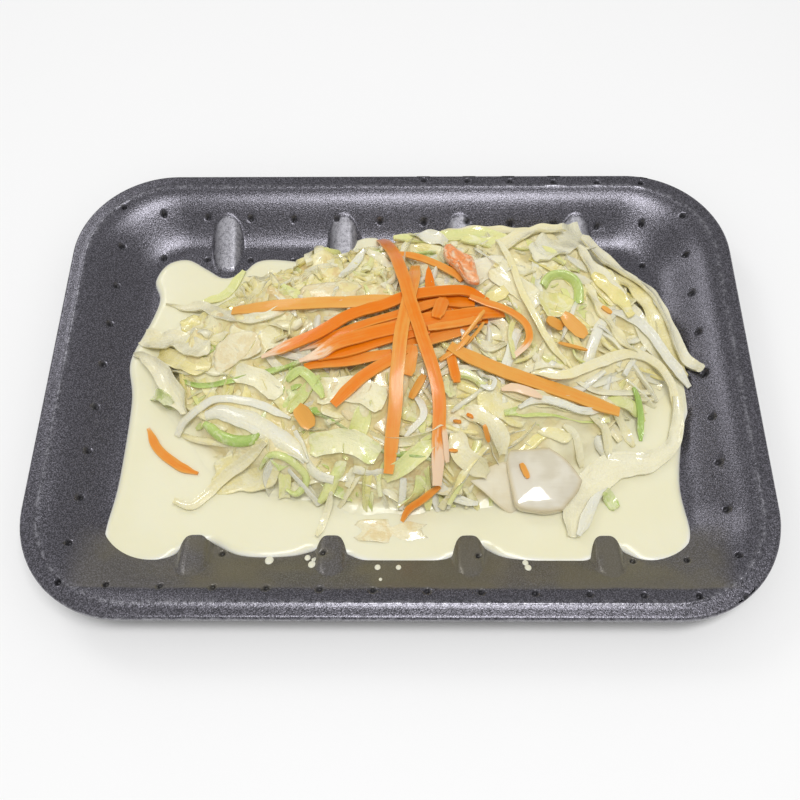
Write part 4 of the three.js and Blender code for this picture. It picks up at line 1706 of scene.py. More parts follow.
@dataclass
class Slaw:
    """The heap of cabbage: random shreds and leaves below, the plainly visible ones on top."""

    relief: Relief
    heap: HeapForm
    under: int = 380
    over: int = 560
    leaves: int = 46
    headroom: float = 4.6
    farthest: float = 1.04
    greenery: tuple[float, float, float, float] = (-33.0, -20.0, 24.0, 16.0)
    rng: np.random.Generator = field(default_factory=lambda: np.random.default_rng(SEED))
    greens: list[Laid] = field(default_factory=list)

    def low_spot(self, tries: int, headroom: float, limit: float = 0.97) -> tuple[float, float] | None:
        """A place where most is missing, among a few drawn at random.

        Args:
            tries: How many places are drawn.
            headroom: How far under its intended top the heap may stay.
            limit: Share of the heap's reach that the places lie in.

        Returns:
            The place, or none where too little is missing.
        """
        best, most = (0.0, 0.0), -1e9
        for _ in range(tries):
            angle = self.rng.uniform(0, 2 * math.pi)
            out = math.sqrt(self.rng.uniform(0, 1)) * float(self.heap.reaches(np.array(angle))) * limit
            x = self.heap.centre[0] + out * math.cos(angle)
            y = self.heap.centre[1] + out * math.sin(angle)
            spot = np.array([x]), np.array([y])
            inner = 1.0 - float(self.heap.share(*spot)[0]) ** 5
            missing = float((self.relief.read(self.relief.target, *spot) - self.relief.at(*spot))[0])
            missing -= headroom * inner * (1.0 - 0.55 * float(self.heap.mushy(*spot)[0]))
            missing -= 100.0 * float(self.heap.bare(np.array(x), np.array(y)))
            if missing > most:
                best, most = (x, y), missing
        return best if most > -0.3 else None

    def draw_strip(self, long: bool) -> Strip | None:
        """A shred with its own size, bow and colour, or none where nothing is missing.

        Args:
            long: Whether it is one of the longer shreds on top.

        Returns:
            The shred, or none.
        """
        rng = self.rng
        spot = self.low_spot(14, self.headroom) if long else self.low_spot(7, self.headroom + 1.6)
        if spot is None:
            return None
        x, y = spot
        fine = bool(self.heap.mushy(np.array(x), np.array(y)) > 0.5)
        length = float(np.clip(rng.lognormal(2.3 if fine else (3.15 if long else 2.9), 0.35), 6, 44))
        heading = rng.uniform(0, 2 * math.pi)
        bend = rng.normal(0, 0.8) if rng.random() < 0.85 else rng.normal(0, 2.2)
        wobble, phase = rng.normal(0, 0.25), rng.uniform(0, 2 * math.pi)
        steps = np.linspace(-0.5, 0.5, 9)
        course = heading + bend * steps + wobble * np.sin(6 * steps + phase)
        hop = length / (len(steps) - 1)
        path = np.cumsum(np.stack([np.cos(course), np.sin(course)], axis=1) * hop, axis=0)
        path += np.array([x, y]) - path[len(steps) // 2]
        share = float(self.heap.share(path[:, 0], path[:, 1]).max())
        if share > self.farthest:
            middle = np.array(self.heap.centre)
            path = middle + (path - middle) * self.farthest / share
        if long and bool(self.heap.kept_free(path[:, 0], path[:, 1]).any()):
            return None
        odds = [.06, .4, .4, .13, .01, 0] if fine else [.22, .32, .28, .13, .04, .01]
        if rng.random() < 0.7 * self.heap.pale(x, y):
            odds = [.36, .34, .12, .14, .04, 0]
        gx, gy, across, deep = self.greenery
        if math.hypot((x - gx) / across, (y - gy) / deep) < 1.0:
            odds = [.2, .16, .18, .18, .18, .1]
        tint = rng.choice([0.03, 0.2, 0.4, 0.6, 0.8, 0.95], p=odds) + rng.normal(0, 0.05)
        tint = float(np.clip(tint, 0, 1))
        rib = tint < 0.12
        return Strip(
            plan=path, lens=rib,
            wide=rng.uniform(1.6, 3.4) if rib else rng.uniform(1.2, 4.6 if fine else 3.8),
            thick=rng.uniform(1.0, 1.7) if rib or fine else rng.uniform(0.6, 1.1), tint=tint,
            stiff=int(rng.integers(3, 9)), sink=rng.uniform(0.2, 1.1),
            roll=rng.normal(0, 0.35), twist=rng.normal(0, 0.6),
            curl=rng.normal(0.1, 0.17),
            ruffle=0.0 if rib else abs(rng.normal(0, 0.45)),
            ends=(rng.uniform(0.35, 1.0), rng.uniform(0.35, 1.0)),
            cut=rng.uniform(1.0, 7.0),
            coat=tuple(rng.uniform(-0.1, 0.4, 3)), crest=max(rng.normal(0.0, 0.4), 0.0),
            phase=rng.uniform(0, 6))

    def draw_leaf(self) -> Leaf:
        """A leaf piece with its own size, dish and colour.

        Returns:
            The leaf.
        """
        rng = self.rng
        size = rng.uniform(5.5, 10.5)
        spot = self.low_spot(7, self.headroom, 0.88)
        if spot is None:
            spot = (rng.uniform(-40, 40), rng.uniform(-15, 30))
        return Leaf(
            at=spot, long=size, wide=size * rng.uniform(0.45, 0.8),
            turn=rng.uniform(0, math.pi), thick=rng.uniform(0.6, 1.0),
            tint=float(rng.choice([0.08, 0.25, 0.42, 0.6, 0.85], p=[.25, .33, .27, .12, .03])),
            wave=rng.uniform(0.2, 0.8), dish=rng.normal(0.4, 0.6),
            tilt=(rng.normal(0, 0.08), rng.normal(0, 0.1)),
            lift=rng.uniform(0.0, 0.5), phase=rng.uniform(0, 6),
            coat=rng.uniform(0, 0.4))

    def scatter(self, count: int, long: bool) -> list[Laid]:
        """Lays shreds where the heap is lowest; the green ones go to a list of their own.

        Args:
            count: How many are drawn.
            long: Whether they are the longer shreds on top.

        Returns:
            The shreds that aren't green.
        """
        group = []
        for _ in range(count):
            strip = self.draw_strip(long)
            if strip is not None:
                (self.greens if strip.tint > 0.72 else group).append(strip.lay(self.relief))
        return group

    def build(self, finish: CabbageFinish, leaf_finish: CabbageFinish, soaked_finish: CabbageFinish,
              ribbons: Sequence[Strip], leaves: Sequence[Leaf]) -> None:
        """Lays everything, lowest first, and makes the pieces of shreds, leaves and ribbons.

        Args:
            finish: Finish of the shreds and small pieces.
            leaf_finish: Finish of the large leaves.
            soaked_finish: Finish of the soaked leaves.
            ribbons: The strips that lie plainly to be seen.
            leaves: The large leaves.
        """
        material = finish.build()
        below = self.scatter(self.under, False)
        drawn = [self.draw_leaf() for _ in range(self.leaves)]
        loose = joined_leaves("leaf_pieces", drawn, self.relief, 16)
        dress("leaf_pieces", loose, material, "slaw")
        above = self.scatter(self.over, True)
        LOG.info("heap over its intended top: %.2f mm", self.relief.excess())
        broad = joined_leaves("broad_leaves", leaves, self.relief, 22)
        dress("broad_leaves", broad, leaf_finish.build(), "slaw")
        soaked = joined_leaves("soaked_leaves", soaked_leaves(), self.relief, 18)
        dress("soaked_leaves", soaked, soaked_finish.build(), "slaw")
        top = [strip.lay(self.relief) for strip in ribbons]
        ribs = [laid for laid in above if laid.strip.lens]
        above = [laid for laid in above if not laid.strip.lens]
        for name, group, along, across in (
                ("cabbage_shreds", below, 16, 4), ("cabbage_strips", above, 24, 4),
                ("rib_shreds", ribs, 22, 6), ("green_shreds", self.greens, 22, 6),
                ("cabbage_ribbons", top, 64, 8)):
            dress(name, joined_strips(name, group, along, across), material, "slaw")


def hero_ribbons() -> list[Strip]:
    """The ribbons and shreds that lie plainly to be seen, in the order they lie.

    Returns:
        The strips, lowest first.
    """
    rib, cream, yellow, pale, light, green = (float(t.value) for t in Tint)
    return [
        Strip([(14, 52), (27, 55), (41, 54), (52, 49)], 5.5, 0.8, cream, 12, curl=0.2, ruffle=0.3),
        Strip([(-2, 46), (13, 49), (27, 52), (38, 49)], 4.5, 0.8, pale, 12, curl=0.2, ruffle=0.2),
        Strip([(1, 54), (6, 49), (15, 46)], 4.5, 0.7, rib, 4, ruffle=0.8, ends=(0.3, 0.7)),
        Strip([(20, 47), (30, 44), (42, 41), (52, 33)], 5.0, 0.8, pale, 8, ruffle=0.4, curl=0.2),
        Strip([(43, 34), (49, 42), (55, 48.5), (63, 54)], 12.0, 0.8, 0.08, 14, curl=0.16,
              ruffle=0.6, rise=1.6, ends=(0.4, 0.95), cut=2.0, widths=(0.6, 0.9, 1.0, 1.05),
              coat=(0.6, 0.6, 0.5)),
        Strip([(30, 39), (42, 47), (54, 52)], 6.0, 0.8, cream, 10, curl=0.2, ruffle=0.3),
        Strip([(78, 33), (83, 20), (85, 8)], 6.0, 0.8, cream, 8, ruffle=0.5),
        Strip([(68, 45), (74, 36), (79, 25), (84, 12), (90, 1)], 6.5, 0.8, 0.3, 8, ruffle=0.6,
              curl=0.1, widths=(0.6, 1.1, 0.7, 1.2, 0.8)),
        Strip([(58, 44), (64, 36), (71, 27), (77, 16), (83, 6)], 5.0, 0.9, 0.12, 8, ruffle=0.5,
              widths=(0.8, 1.2, 0.7, 1.1, 0.9)),
        Strip([(60, 50), (66, 47), (72, 41), (80, 30), (87, 15), (94, 2)], 4.2, 1.1, 0.1, 8,
              ends=(0.6, 0.95), curl=0.15, ruffle=0.15, widths=(0.7, 1.3, 0.6, 1.2, 0.7, 1.0, 0.8),
              cut=2.0),
        Strip([(67, 20), (76, 17), (85, 6), (91, -2)], 3.2, 1.1, rib, 8, curl=0.2),
        Strip([(59, 28), (63, 18), (69, 9), (75, 6)], 3.4, 0.9, cream, 8, ruffle=0.6),
        Strip([(31, -18), (42, -16), (53, -16), (60, -17)], 3.6, 0.9, light, 8, curl=0.22),
        Strip([(30, -11), (39, -13), (48, -14), (61, -13)], 4.8, 1.0, cream, 8, curl=0.22,
              ruffle=0.6),
        Strip([(39.5, -5), (50.5, -5.5), (61, 0), (72, 5), (79.5, 3.5), (85, -3), (86, -12)], 3.2,
              1.5, cream, 12, curl=0.2, lens=True, widths=(0.7, 1.0, 1.1, 0.9, 0.8),
              ends=(0.4, 0.8)),
        Strip([(86, -6), (86, -13.5), (82.5, -22.5), (75.5, -27.5), (69.5, -28), (63, -30),
               (56.5, -35.5), (52.5, -42), (50.5, -51)], 9.5, 1.2, 0.12, 9, curl=0.12, ruffle=0.3,
              ends=(0.8, 0.45), coat=(0.5, 0.5, 0.5),
              widths=(0.36, 0.4, 0.45, 0.62, 0.85, 1.0, 0.95, 0.8, 0.7)),
        Strip([(62, -36), (59, -38.5), (55, -45), (52, -51)], 3.2, 1.6, 0.02, 4, lens=True,
              sink=0.6, widths=(0.3, 0.9, 1.1, 0.9), ends=(0.2, 0.5)),
        Strip([(61, -37.5), (64.5, -42)], 4.0, 0.6, 0.86, 2, sink=0.35, ends=(0.8, 0.7), cut=1.5,
              coat=(0.3, 0.2, 0.3)),
        Strip([(49, -19), (53, -22), (55, -29)], 2.6, 0.7, 0.2, 8, curl=0.15, sink=0.7,
              coat=(0.4, 0.6, 0.8)),
        Strip([(57, -16), (62, -19), (63.5, -26)], 3.0, 0.7, 0.3, 8, curl=0.15, sink=0.6,
              coat=(0.3, 0.6, 0.8)),
        Strip([(64, -12), (69, -16), (71.5, -22)], 3.0, 0.7, 0.35, 8, curl=0.15, sink=0.6,
              coat=(0.3, 0.5, 0.6)),
        Strip([(20.5, -19), (25, -21.5), (28.5, -25.5), (30.5, -30)], 5.0, 0.9, 0.1, 8, curl=0.25),
        Strip([(2, -25.5), (7, -20), (6.5, -16), (4, -13)], 2.1, 1.1, rib, 6, lens=True),
        Strip([(-4, -36), (2, -33), (10, -28)], 5.0, 0.8, pale, 6, curl=0.15),
        Strip([(-16, -31), (-12, -24), (-9, -16)], 5.6, 0.9, pale, 6, curl=0.15, ruffle=0.8,
              widths=(0.7, 1, 0.8)),
        Strip([(-59, -18), (-55, -21), (-50.5, -23.5), (-45, -25), (-41, -23.5)], 3.4, 1.4, 0.93,
              5, curl=-0.12, lens=True, cut=3.0, ends=(0.6, 0.3)),
        Strip([(-58.5, -15.5), (-53, -15), (-46.5, -18), (-38.5, -22.5), (-32, -27),
               (-26.5, -31.5)], 6.0, 1.4, 0.06, 12, sink=0.3, curl=-0.08, coat=(0.1, 0.1, 0.4),
              lens=True, ends=(0.7, 0.3), widths=(0.75, 0.95, 1.05, 1.0, 0.85, 0.6)),
        Strip([(-68.5, -18.5), (-66, -15), (-61, -12.5), (-56.5, -11), (-50.5, -11.5),
               (-41.5, -14.5), (-32, -19)], 2.5, 1.7, 0.04, 9, crest=0.5, lens=True,
              ends=(0.8, 0.3)),
        Strip([(-67, -40.5), (-62, -41.5), (-57, -37.5), (-51, -32), (-44.5, -29.5), (-38.5, -27)],
              3.2, 1.1, cream, 8, curl=0.18, ends=(0.7, 0.6), widths=(0.8, 0.9, 1.2, 0.9)),
        Strip([(-41, -32), (-37.5, -30), (-32.5, -31), (-28, -34), (-27.5, -36.5), (-30.5, -39),
               (-33.5, -37.5)], 2.2, 1.2, 0.72, 3, curl=-0.12, lens=True, ends=(0.5, 0.4)),
        Strip([(-24, -13), (-14, -12.5), (-4, -17)], 8.0, 0.7, 0.24, 8, curl=0.14, ruffle=0.5,
              ends=(0.8, 0.6), cut=1.5, coat=(0.3, 0.5, 0.3)),
        Strip([(-26, -27), (-16, -26.5), (-6, -31)], 7.0, 0.7, 0.6, 8, curl=0.14, ruffle=0.5,
              ends=(0.6, 0.7), cut=1.5, coat=(0.5, 0.5, 0.2)),
        Strip([(-50, -3), (-42, -6), (-36, -12)], 6.0, 0.7, 0.2, 8, curl=0.14, ruffle=0.5,
              ends=(0.7, 0.6), cut=1.5, coat=(0.3, 0.5, 0.3)),
        Strip([(-32.5, -17), (-28, -12), (-23, -9)], 3.6, 0.9, 0.7, 6, curl=0.25),
        Strip([(-32.5, -9), (-29, -7), (-26, -6)], 5.0, 0.8, 0.86, 6, curl=0.2, ruffle=0.4,
              ends=(0.8, 0.7), cut=2.0),
        Strip([(-33, -8), (-29, -6), (-25, -10), (-22, -15)], 3.0, 0.9, light, 6, curl=0.3),
        Strip([(31, 42), (34, 34), (37, 22), (41, 13), (46, 5), (51, 0)], 2.2, 1.0, 0.3, 14,
              crest=0.8, coat=(0.3, 0.0, 0.3)),
        Strip([(56, 23), (53, 15), (50, 8)], 1.3, 0.8, rib, 12, crest=0.8),
        Strip([(45, 25), (47.5, 28.5), (51.5, 29), (55, 26.5), (56, 20)], 3.2, 1.1, 0.88, 3,
              roll=0.75, curl=-0.1, crest=0.5, ends=(0.9, 0.9), cut=2.0),
        Strip([(72, -5), (74, -11), (74, -20)], 2.0, 0.9, green, 4),
        Strip([(35, -17), (42, -14), (54, -16), (61, -14)], 2.4, 0.9, rib, 8, curl=0.3),
        Strip([(19, -18), (25, -21), (29, -25), (30, -29)], 6.0, 0.7, 0.2, 8, curl=0.2,
              ruffle=0.4),
        Strip([(16, -24), (19, -31), (26, -34)], 6.0, 0.7, cream, 4, ruffle=0.7),
        Strip([(26, 18), (33, 22)], 4.0, 0.7, yellow, 4, ends=(0.3, 0.8)),
        Strip([(-66, 30), (-58, 34), (-53, 43)], 3.0, 0.9, pale, 4),
        Strip([(-78, 29.5), (-71.5, 28), (-65, 27), (-55.5, 19), (-47, 14), (-39, 13.5),
               (-32.5, 18)], 3.8, 0.8, 0.14, 10, curl=0.2, ruffle=0.3, ends=(0.1, 0.15),
              widths=(0.3, 0.9, 1.0, 1.0, 0.8, 1.0)),
        Strip([(-79, 10), (-71.5, 6.5), (-64, 1.5), (-58.5, 0)], 6.5, 0.7, 0.36, 8, curl=0.12,
              ruffle=0.4, ends=(0.7, 0.5), cut=4.0),
        Strip([(-84, 17), (-78, 14.5), (-72.5, 13.5), (-65.5, 8.5), (-59, 5)], 7.0, 0.8, 0.16, 10,
              curl=0.14, ruffle=0.5, ends=(0.8, 0.4), cut=2.0),
        Strip([(-86, 10), (-82, 8.5), (-77.5, 4.5), (-73.5, -0.5), (-68.5, -8), (-65.5, -13.5)],
              6.8, 0.8, 0.14, 10, curl=0.2, ruffle=0.4, ends=(0.4, 0.4),
              widths=(0.4, 0.6, 0.9, 1.05, 0.8)),
        Strip([(-78, -5), (-74.5, -6.5), (-70, -10)], 3.8, 0.8, 0.8, 5, ends=(0.7, 0.5), cut=2.0,
              coat=(0.3, 0.2, 0.3)),
        Strip([(-18, 26), (-15, 33), (-11, 40)], 2.8, 0.9, rib, 6, curl=0.3),
        Strip([(25, -7), (28, -9), (27, -12), (24, -11)], 1.5, 0.8, rib, 4),
        Strip([(62, 34), (69, 27), (73, 18)], 4.2, 0.8, yellow, 6, ruffle=0.7),
        Strip([(-20, -39), (-22, -46), (-24, -51)], 2.2, 0.5, cream, 2, sink=0.25,
              coat=(0.6, 0.6, 0.6)),
    ]


def hero_leaves() -> list[Leaf]:
    """The leaf pieces that lie plainly to be seen.

    Returns:
        The leaves, lowest first.
    """
    return [
        Leaf((-16, -14), 7.5, 5.0, 0.2, 0.8, 0.3, 0.6, 0.5, (0.0, 0.05), 0.5, 1.4),
        Leaf((50, 47), 10.5, 6.5, 0.7, 0.7, 0.4, 1.2, 1.2, (0.1, 0.1), 1.2, 3.2),
        Leaf((48.5, 19), 5.5, 4.4, 0.5, 0.8, 0.5, 0.6, 1.6, (0.0, 0.1), 0.4, 1.2),
        Leaf((31, -15), 7.0, 5.0, 2.6, 0.8, 0.35, 0.7, 0.9, (0.0, 0.15), 0.6, 5.1),
        Leaf((69, 29), 7.0, 5.0, -0.9, 0.7, 0.44, 0.8, 0.6, (0.0, 0.1), 0.5, 0.7),
        Leaf((-45, 9), 8.5, 6.0, 2.3, 0.8, 0.22, 0.8, 0.6, (0.1, 0.1), 0.5, 2.8),
        Leaf((-28, -8), 6.5, 4.5, 0.5, 0.8, 0.72, 0.6, 0.5, (0.0, 0.1), 0.5, 1.9),
        Leaf((26, 30), 8.0, 4.5, 0.3, 0.8, 0.1, 0.7, 0.5, (0.0, 0.1), 0.4, 2.9),
        Leaf((36, 24), 8.5, 4.0, 2.4, 0.8, 0.2, 0.7, 0.5, (0.0, 0.1), 0.4, 5.2),
        Leaf((-46, -32), 10.0, 5.5, 0.1, 0.8, 0.3, 0.8, 0.5, (0.0, 0.08), 0.6, 3.7),
        Leaf((-69, 22), 3.2, 2.4, 0.4, 1.4, 0.45, 0.3, -0.6, (0.0, 0.0), 0.8, 3.0),
    ]


def soaked_leaves() -> list[Leaf]:
    """Limp beige leaf pieces, soaked with dressing.

    Returns:
        The leaves, lowest first.
    """
    return [
        Leaf((-21, 20), 8.5, 5.0, 0.2, 0.8, 0.4, 0.4, 0.2, (0.0, 0.05), 0.9, 0.6),
        Leaf((-50, 4), 7.5, 4.6, 0.2, 0.8, 0.2, 0.5, 0.3, (0.0, 0.05), 0.9, 2.6),
        Leaf((-4, -15), 9.0, 5.5, 1.2, 0.9, 0.5, 0.6, 0.4, (0.0, 0.05), 0.9, 1.6),
        Leaf((-14, -14), 6.5, 4.5, 2.0, 0.8, 0.3, 0.6, 0.4, (0.0, 0.05), 0.7, 3.6),
        Leaf((-3, -49), 11.0, 3.6, 0.0, 0.5, 0.6, 0.5, 0.1, (0.0, 0.0), -0.08, 4.6, 0.35),
    ]


@dataclass
class Garnish:
    """The crossed carrot strips on top, and the loose carrot pieces."""

    relief: Relief
    tip: int = 4  # the number of the strip that is cut to a point

    def strips(self) -> list[Strip]:
        """The strips in the order they lie: places, width, colour value and three values of coat.

        Returns:
            The strips.
        """
        rows = [
            ([(-12, 6), (2, 9), (16, 13), (27, 13)], 5.6, 0.2, (0, 0, 0)),
            ([(-20, 2), (-4, 6), (10, 9), (24, 12)], 5.0, 0.15, (0, 0, 0)),
            ([(2, 16), (12, 17.5), (23, 17)], 5.0, 0.2, (0, 0, 0)),
            ([(0, 1), (10, 4), (23, 9.5)], 5.4, 0.4, (0, 0, 0)),
            ([(9, 31.5), (9.5, 20)], 3.4, 0.1, (0, 0, 0)),
            ([(4, 0), (2.5, -9)], 3.9, 0.5, (0, 0, 0)),
            ([(-28, -5), (-23.5, -4), (-13.5, -3.5), (-2, -1.5)], 3.2, 0.35, (0.3, 0, 0)),
            ([(-19, -17.5), (-11, -9.5), (-3.5, -5), (2, -1.5)], 3.8, 0.3, (0, 0, 0)),
            ([(-24, -2.5), (-13.5, -0.5), (-2, 3), (9, 5)], 3.6, 0.15, (0.2, 0, 0)),
            ([(-52.5, 18.5), (-42.5, 17), (-24, 15.5), (-12, 15.5), (0, 17)], 3.7, 0.75,
             (0.3, 0, 0)),
            ([(15, 0), (17, -10.5)], 3.0, 0.35, (0, 0, 0)),
            ([(-30, 2), (-23.5, 3), (-15.5, 6), (-3.5, 9.5), (0.5, 11), (6.5, 13.5), (14.5, 17.5)],
             3.0, 0.3, (0.8, 0.1, 0)),
            ([(-29.5, -3.5), (-23.5, -1.5), (-18.5, 1.5), (-8.5, 4), (0.5, 6), (8.5, 8.5),
              (16, 10), (26.5, 13.5), (32, 15)], 4.3, 0.25, (0.95, 0.12, 0)),
            ([(-41.5, 0), (-33, 2.5), (-23.5, 6), (-14, 11.5), (-5, 14), (1, 17), (8.5, 19),
              (16.5, 20.5), (21.5, 20.5), (27, 17.5)], 3.9, 0.15, (0.8, 0.0, 0)),
            ([(21.5, 18.5), (26.5, 16.5), (31.5, 15), (36.5, 12), (39, 8), (38.5, 3.5), (34, -1)],
             2.2, 0.45, (0, 0.3, 1.0)),
            ([(13.5, 17), (11, 8.5)], 3.9, 0.3, (0, 0, 0)),
            ([(8.5, 5), (19, 8), (24.5, 10)], 2.2, 0.4, (0, 0, 0)),
            ([(18.5, 3), (22.5, 8), (25.5, 12)], 1.2, 0.7, (0, 0, 0)),
            ([(20, 2), (23.5, 6.5), (25.5, 9.5)], 1.0, 0.8, (0, 0, 0)),
            ([(12, -3.5), (17.5, 0.5), (21, 4)], 1.6, 0.6, (0, 0, 0)),
            ([(7.5, -7.5), (3.5, -14.5)], 2.4, 0.7, (0, 0, 0)),
            ([(15, 1), (18.5, -1), (26, -4), (36, -7), (48, -10), (57, -12.5), (66, -15)], 4.5,
             0.7, (0, 0, 0.3)),
            ([(-0.5, 37.5), (4, 36.5), (10.5, 33.5), (16.5, 29.5), (19.5, 26)], 2.4, 0.5,
             (0.2, 0, 0)),
            ([(5, 33), (4, 22), (2, 11), (0.5, 2), (-0.5, -8.5), (-1, -17), (-2, -27),
              (-3, -35.5)], 4.1, 0.5, (0, 0, 0.1)),
            ([(-7, 56.5), (-1, 34.5), (4, 12), (8, -1.5), (11.5, -14), (11.5, -25.5), (11, -39)],
             3.9, 0.32, (0, 0, 0.95)),
            ([(13, -24), (14, -33)], 1.6, 0.5, (0.5, 0.9, 0.9)),
        ]
        made = []
        for number, (plan, wide, tone, coat) in enumerate(rows):
            made.append(Strip(
                plan, wide, 0.85, tone, 60, sink=0.2, over=0.95, curl=0.02,
                roll=0.1 * math.sin(2.3 * number),
                ends=(0.15 if number == self.tip else 0.3 if coat[0] > 0.7 else 0.72, 0.7),
                widths=(0.2, 0.8, 1.0) if number == self.tip else (1.0, 1.0), cut=8.0,
                coat=coat, square=True, phase=0.7 * number))
        return made

    def bits(self) -> list[Strip]:
        """Small orange pieces scattered on the heap.

        Returns:
            The pieces.
        """
        rows = [
            ([(45, 12), (50, 11)], 3.2, 0.8),
            ([(50, 14), (57, 8)], 4.2, 0.9),
            ([(49, 7), (57, 3)], 1.1, 0.8),
            ([(24.5, -24), (26, -27)], 1.4, 0.5),
            ([(12, -38), (7, -41), (3, -43), (1, -46)], 2.2, 0.45),
            ([(-29.5, -17), (-25.5, -22.5)], 5.0, 1.0),
            ([(16, -21), (18, -22)], 1.2, 0.4),
            ([(36, -30.5), (38, -35)], 1.8, 0.6),
            ([(20, -19), (21.5, -20.5)], 1.1, 0.4),
            ([(63, 19), (66, 17)], 1.4, 0.8),
            ([(14.5, -30), (17, -30)], 1.0, 0.5),
        ]
        return [
            Strip(plan, wide, 0.9, tone, 4, sink=0.1, over=0.95, roll=0.3 * math.sin(1.7 * k),
                  ends=(0.6, 0.5), coat=(0.3, 0.15, 0.3), square=True, phase=float(k))
            for k, (plan, wide, tone) in enumerate(rows)]

    def build(self, finish: CarrotFinish) -> None:
        """Makes the garnish and the scattered pieces.

        Args:
            finish: Finish of the carrot.
        """
        material = finish.build()
        small = [strip.lay(self.relief) for strip in self.bits()]
        long = [strip.lay(self.relief) for strip in self.strips()]
        shell = Strip([(30, -12), (34, -11), (38, -12), (42, -14)], 2.6, 1.2, 0.9, 3, lens=True,
                      coat=(1.4, 1.4, 1.4), ends=(0.3, 0.3), sink=0.1)
        small.append(shell.lay(self.relief))
        for name, laid, node, along in (
                ("carrot_strips", long, "carrot_garnish", 40), ("carrot_bits", small, "slaw", 8)):
            dress(name, joined_strips(name, laid, along, 4), material, node)

    def build_sliver(self, finish: CarrotFinish) -> None:
        """Makes the curved sliver that stands half in the dressing.

        Args:
            finish: Its finish.
        """
        low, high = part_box("carrot_sliver")
        plan = [(-78, -16), (-74, -23), (-68, -28), (-64, -30), (-61, -31)]
        strip = Strip(plan, 2.8, (high[2] - low[2]) / MM, 0.5, 2, sink=0.9, ends=(0.4, 0.35),
                      coat=(0.6, 0.05, 0.3), square=True)
        mesh = joined_strips("carrot_sliver_piece", [strip.lay(self.relief)], 24, 4)
        dress("carrot_sliver_piece", mesh, finish.build(), "carrot_sliver")


@dataclass
class Lumps:
    """The two thick pieces: the rough carrot chunk and the slice of core."""

    relief: Relief

    def lump(self, name: str, outline: Points, thick: float, rough: float,
             grains: float, lift: float, dome: float, lean: float = 1.0) -> Mesh:
        """A slab with rounded edges that leans on what lies under it.

        Args:
            name: The mesh's name.
            outline: Its outline in plan.
            thick: Its thickness.
            rough: Depth of its uneven relief.
            grains: Depth of a fine, granular relief.
            lift: How far its middle stands off what it lies on.
            dome: How far its middle stands over its edge, besides its thickness.
            lean: Share of the slope under it that it follows.

        Returns:
            The mesh, in millimetres.
        """
        bm = bmesh.new()
        bmesh.ops.create_icosphere(bm, subdivisions=6, radius=1.0)
        loop = spline(outline, 120, closed=True)
        centre = loop.mean(axis=0)
        polar = np.arctan2(loop[:, 1] - centre[1], loop[:, 0] - centre[0])
        order = np.argsort(polar)
        reach = np.linalg.norm(loop - centre, axis=1)[order]
        heights = self.relief.at(loop[:, 0], loop[:, 1])
        plan = np.column_stack([np.ones(len(loop)), loop - centre])
        slope = np.linalg.lstsq(plan, heights, rcond=None)[0] * np.array([1.0, lean, lean])
        middle = float(self.relief.at(*centre))
        rng = np.random.default_rng(SEED + len(name))
        slow, quick = 16, 30
        waves, fine = rng.normal(size=(slow, 3)) * 2.0, rng.normal(size=(quick, 3)) * 11.0
        phases = rng.uniform(0, 2 * math.pi, slow + quick)
        verts = bm.verts[:]
        unit = np.array([vert.co for vert in verts])
        angle = np.arctan2(unit[:, 1], unit[:, 0])
        edge = np.interp(angle, polar[order], reach, period=2 * math.pi)
        out = np.hypot(unit[:, 0], unit[:, 1]) ** 0.72
        uneven = np.sin(unit @ waves.T + phases[:slow]).sum(axis=1) / slow
        grain = np.sin(unit @ fine.T + phases[slow:]).sum(axis=1) / quick
        u, v = out * edge * np.cos(angle), out * edge * np.sin(angle)
        tall = np.sign(unit[:, 2]) * np.abs(unit[:, 2]) ** 0.34 * thick / 2
        ground = slope[1] * u + slope[2] * v + max(middle, slope[0])
        z = ground + lift + tall + rough * uneven + grains * grain
        z = z + dome * (0.5 - out ** 2)
        places = np.column_stack([centre[0] + u, centre[1] + v, z])
        for vert, place in zip(verts, places):
            vert.co = Vector(place)
        self.relief.raise_to(places)
        mesh = mesh_of(name, bm)
        note(mesh, np.column_stack([0.3 + 1.6 * grain, np.full(len(out), 0.2), out]))
        map_grain(mesh, np.column_stack([u, v]))
        return mesh

    def build_chunk(self, carrot: CarrotFinish) -> None:
        """Makes the rough carrot chunk.

        Args:
            carrot: Its finish.
        """
        outline = [(14, 39), (16, 40.5), (19, 37), (23, 34), (24, 27), (24.5, 23), (21, 23.5), (18, 29),
                   (14.5, 34)]
        chunk = self.lump("carrot_lump", outline, 3.0, 0.5, 0.9, 1.4, 1.2)
        dress("carrot_lump", chunk, carrot.build(), "carrot_chunk")

    def build_core(self, core: CoreFinish, thin: CoreFinish) -> None:
        """Makes the slice of core and the thin flap beside it.

        Args:
            core: Finish of the slice.
            thin: Finish of the flap.
        """
        slab_line = [
            (31.6, -27.4), (32, -26.2), (34, -25.8), (37.5, -25.6), (44, -24.9), (45.6, -25.2),
            (50, -28.5), (54, -34), (54, -35.5), (52.5, -38.5), (48.5, -43), (47, -43.7),
            (43, -44.4), (37.5, -43.8), (35, -43.2), (34, -41.8), (33.4, -39), (32.6, -35), (32, -31.5)]
        flap_line = [
            (20.5, -35.5), (21.5, -34), (25.5, -32), (31, -29.5), (36, -31), (37, -38), (36.5, -43),
            (34, -43.6), (30.5, -42.4), (25.5, -38.8)]
        for name, outline, thick, lift, dome, lean, finish in (
                ("core_flap", flap_line, 1.1, 0.3, 0.3, 0.9, thin),
                ("core_slab", slab_line, 4.2, 0.8, 0.2, 0.4, core)):
            slab = self.lump(name, outline, thick, 0.3, 0.0, lift, dome, lean)
            dress(name, slab, finish.build(), "core_slice")


# ---------------- studio


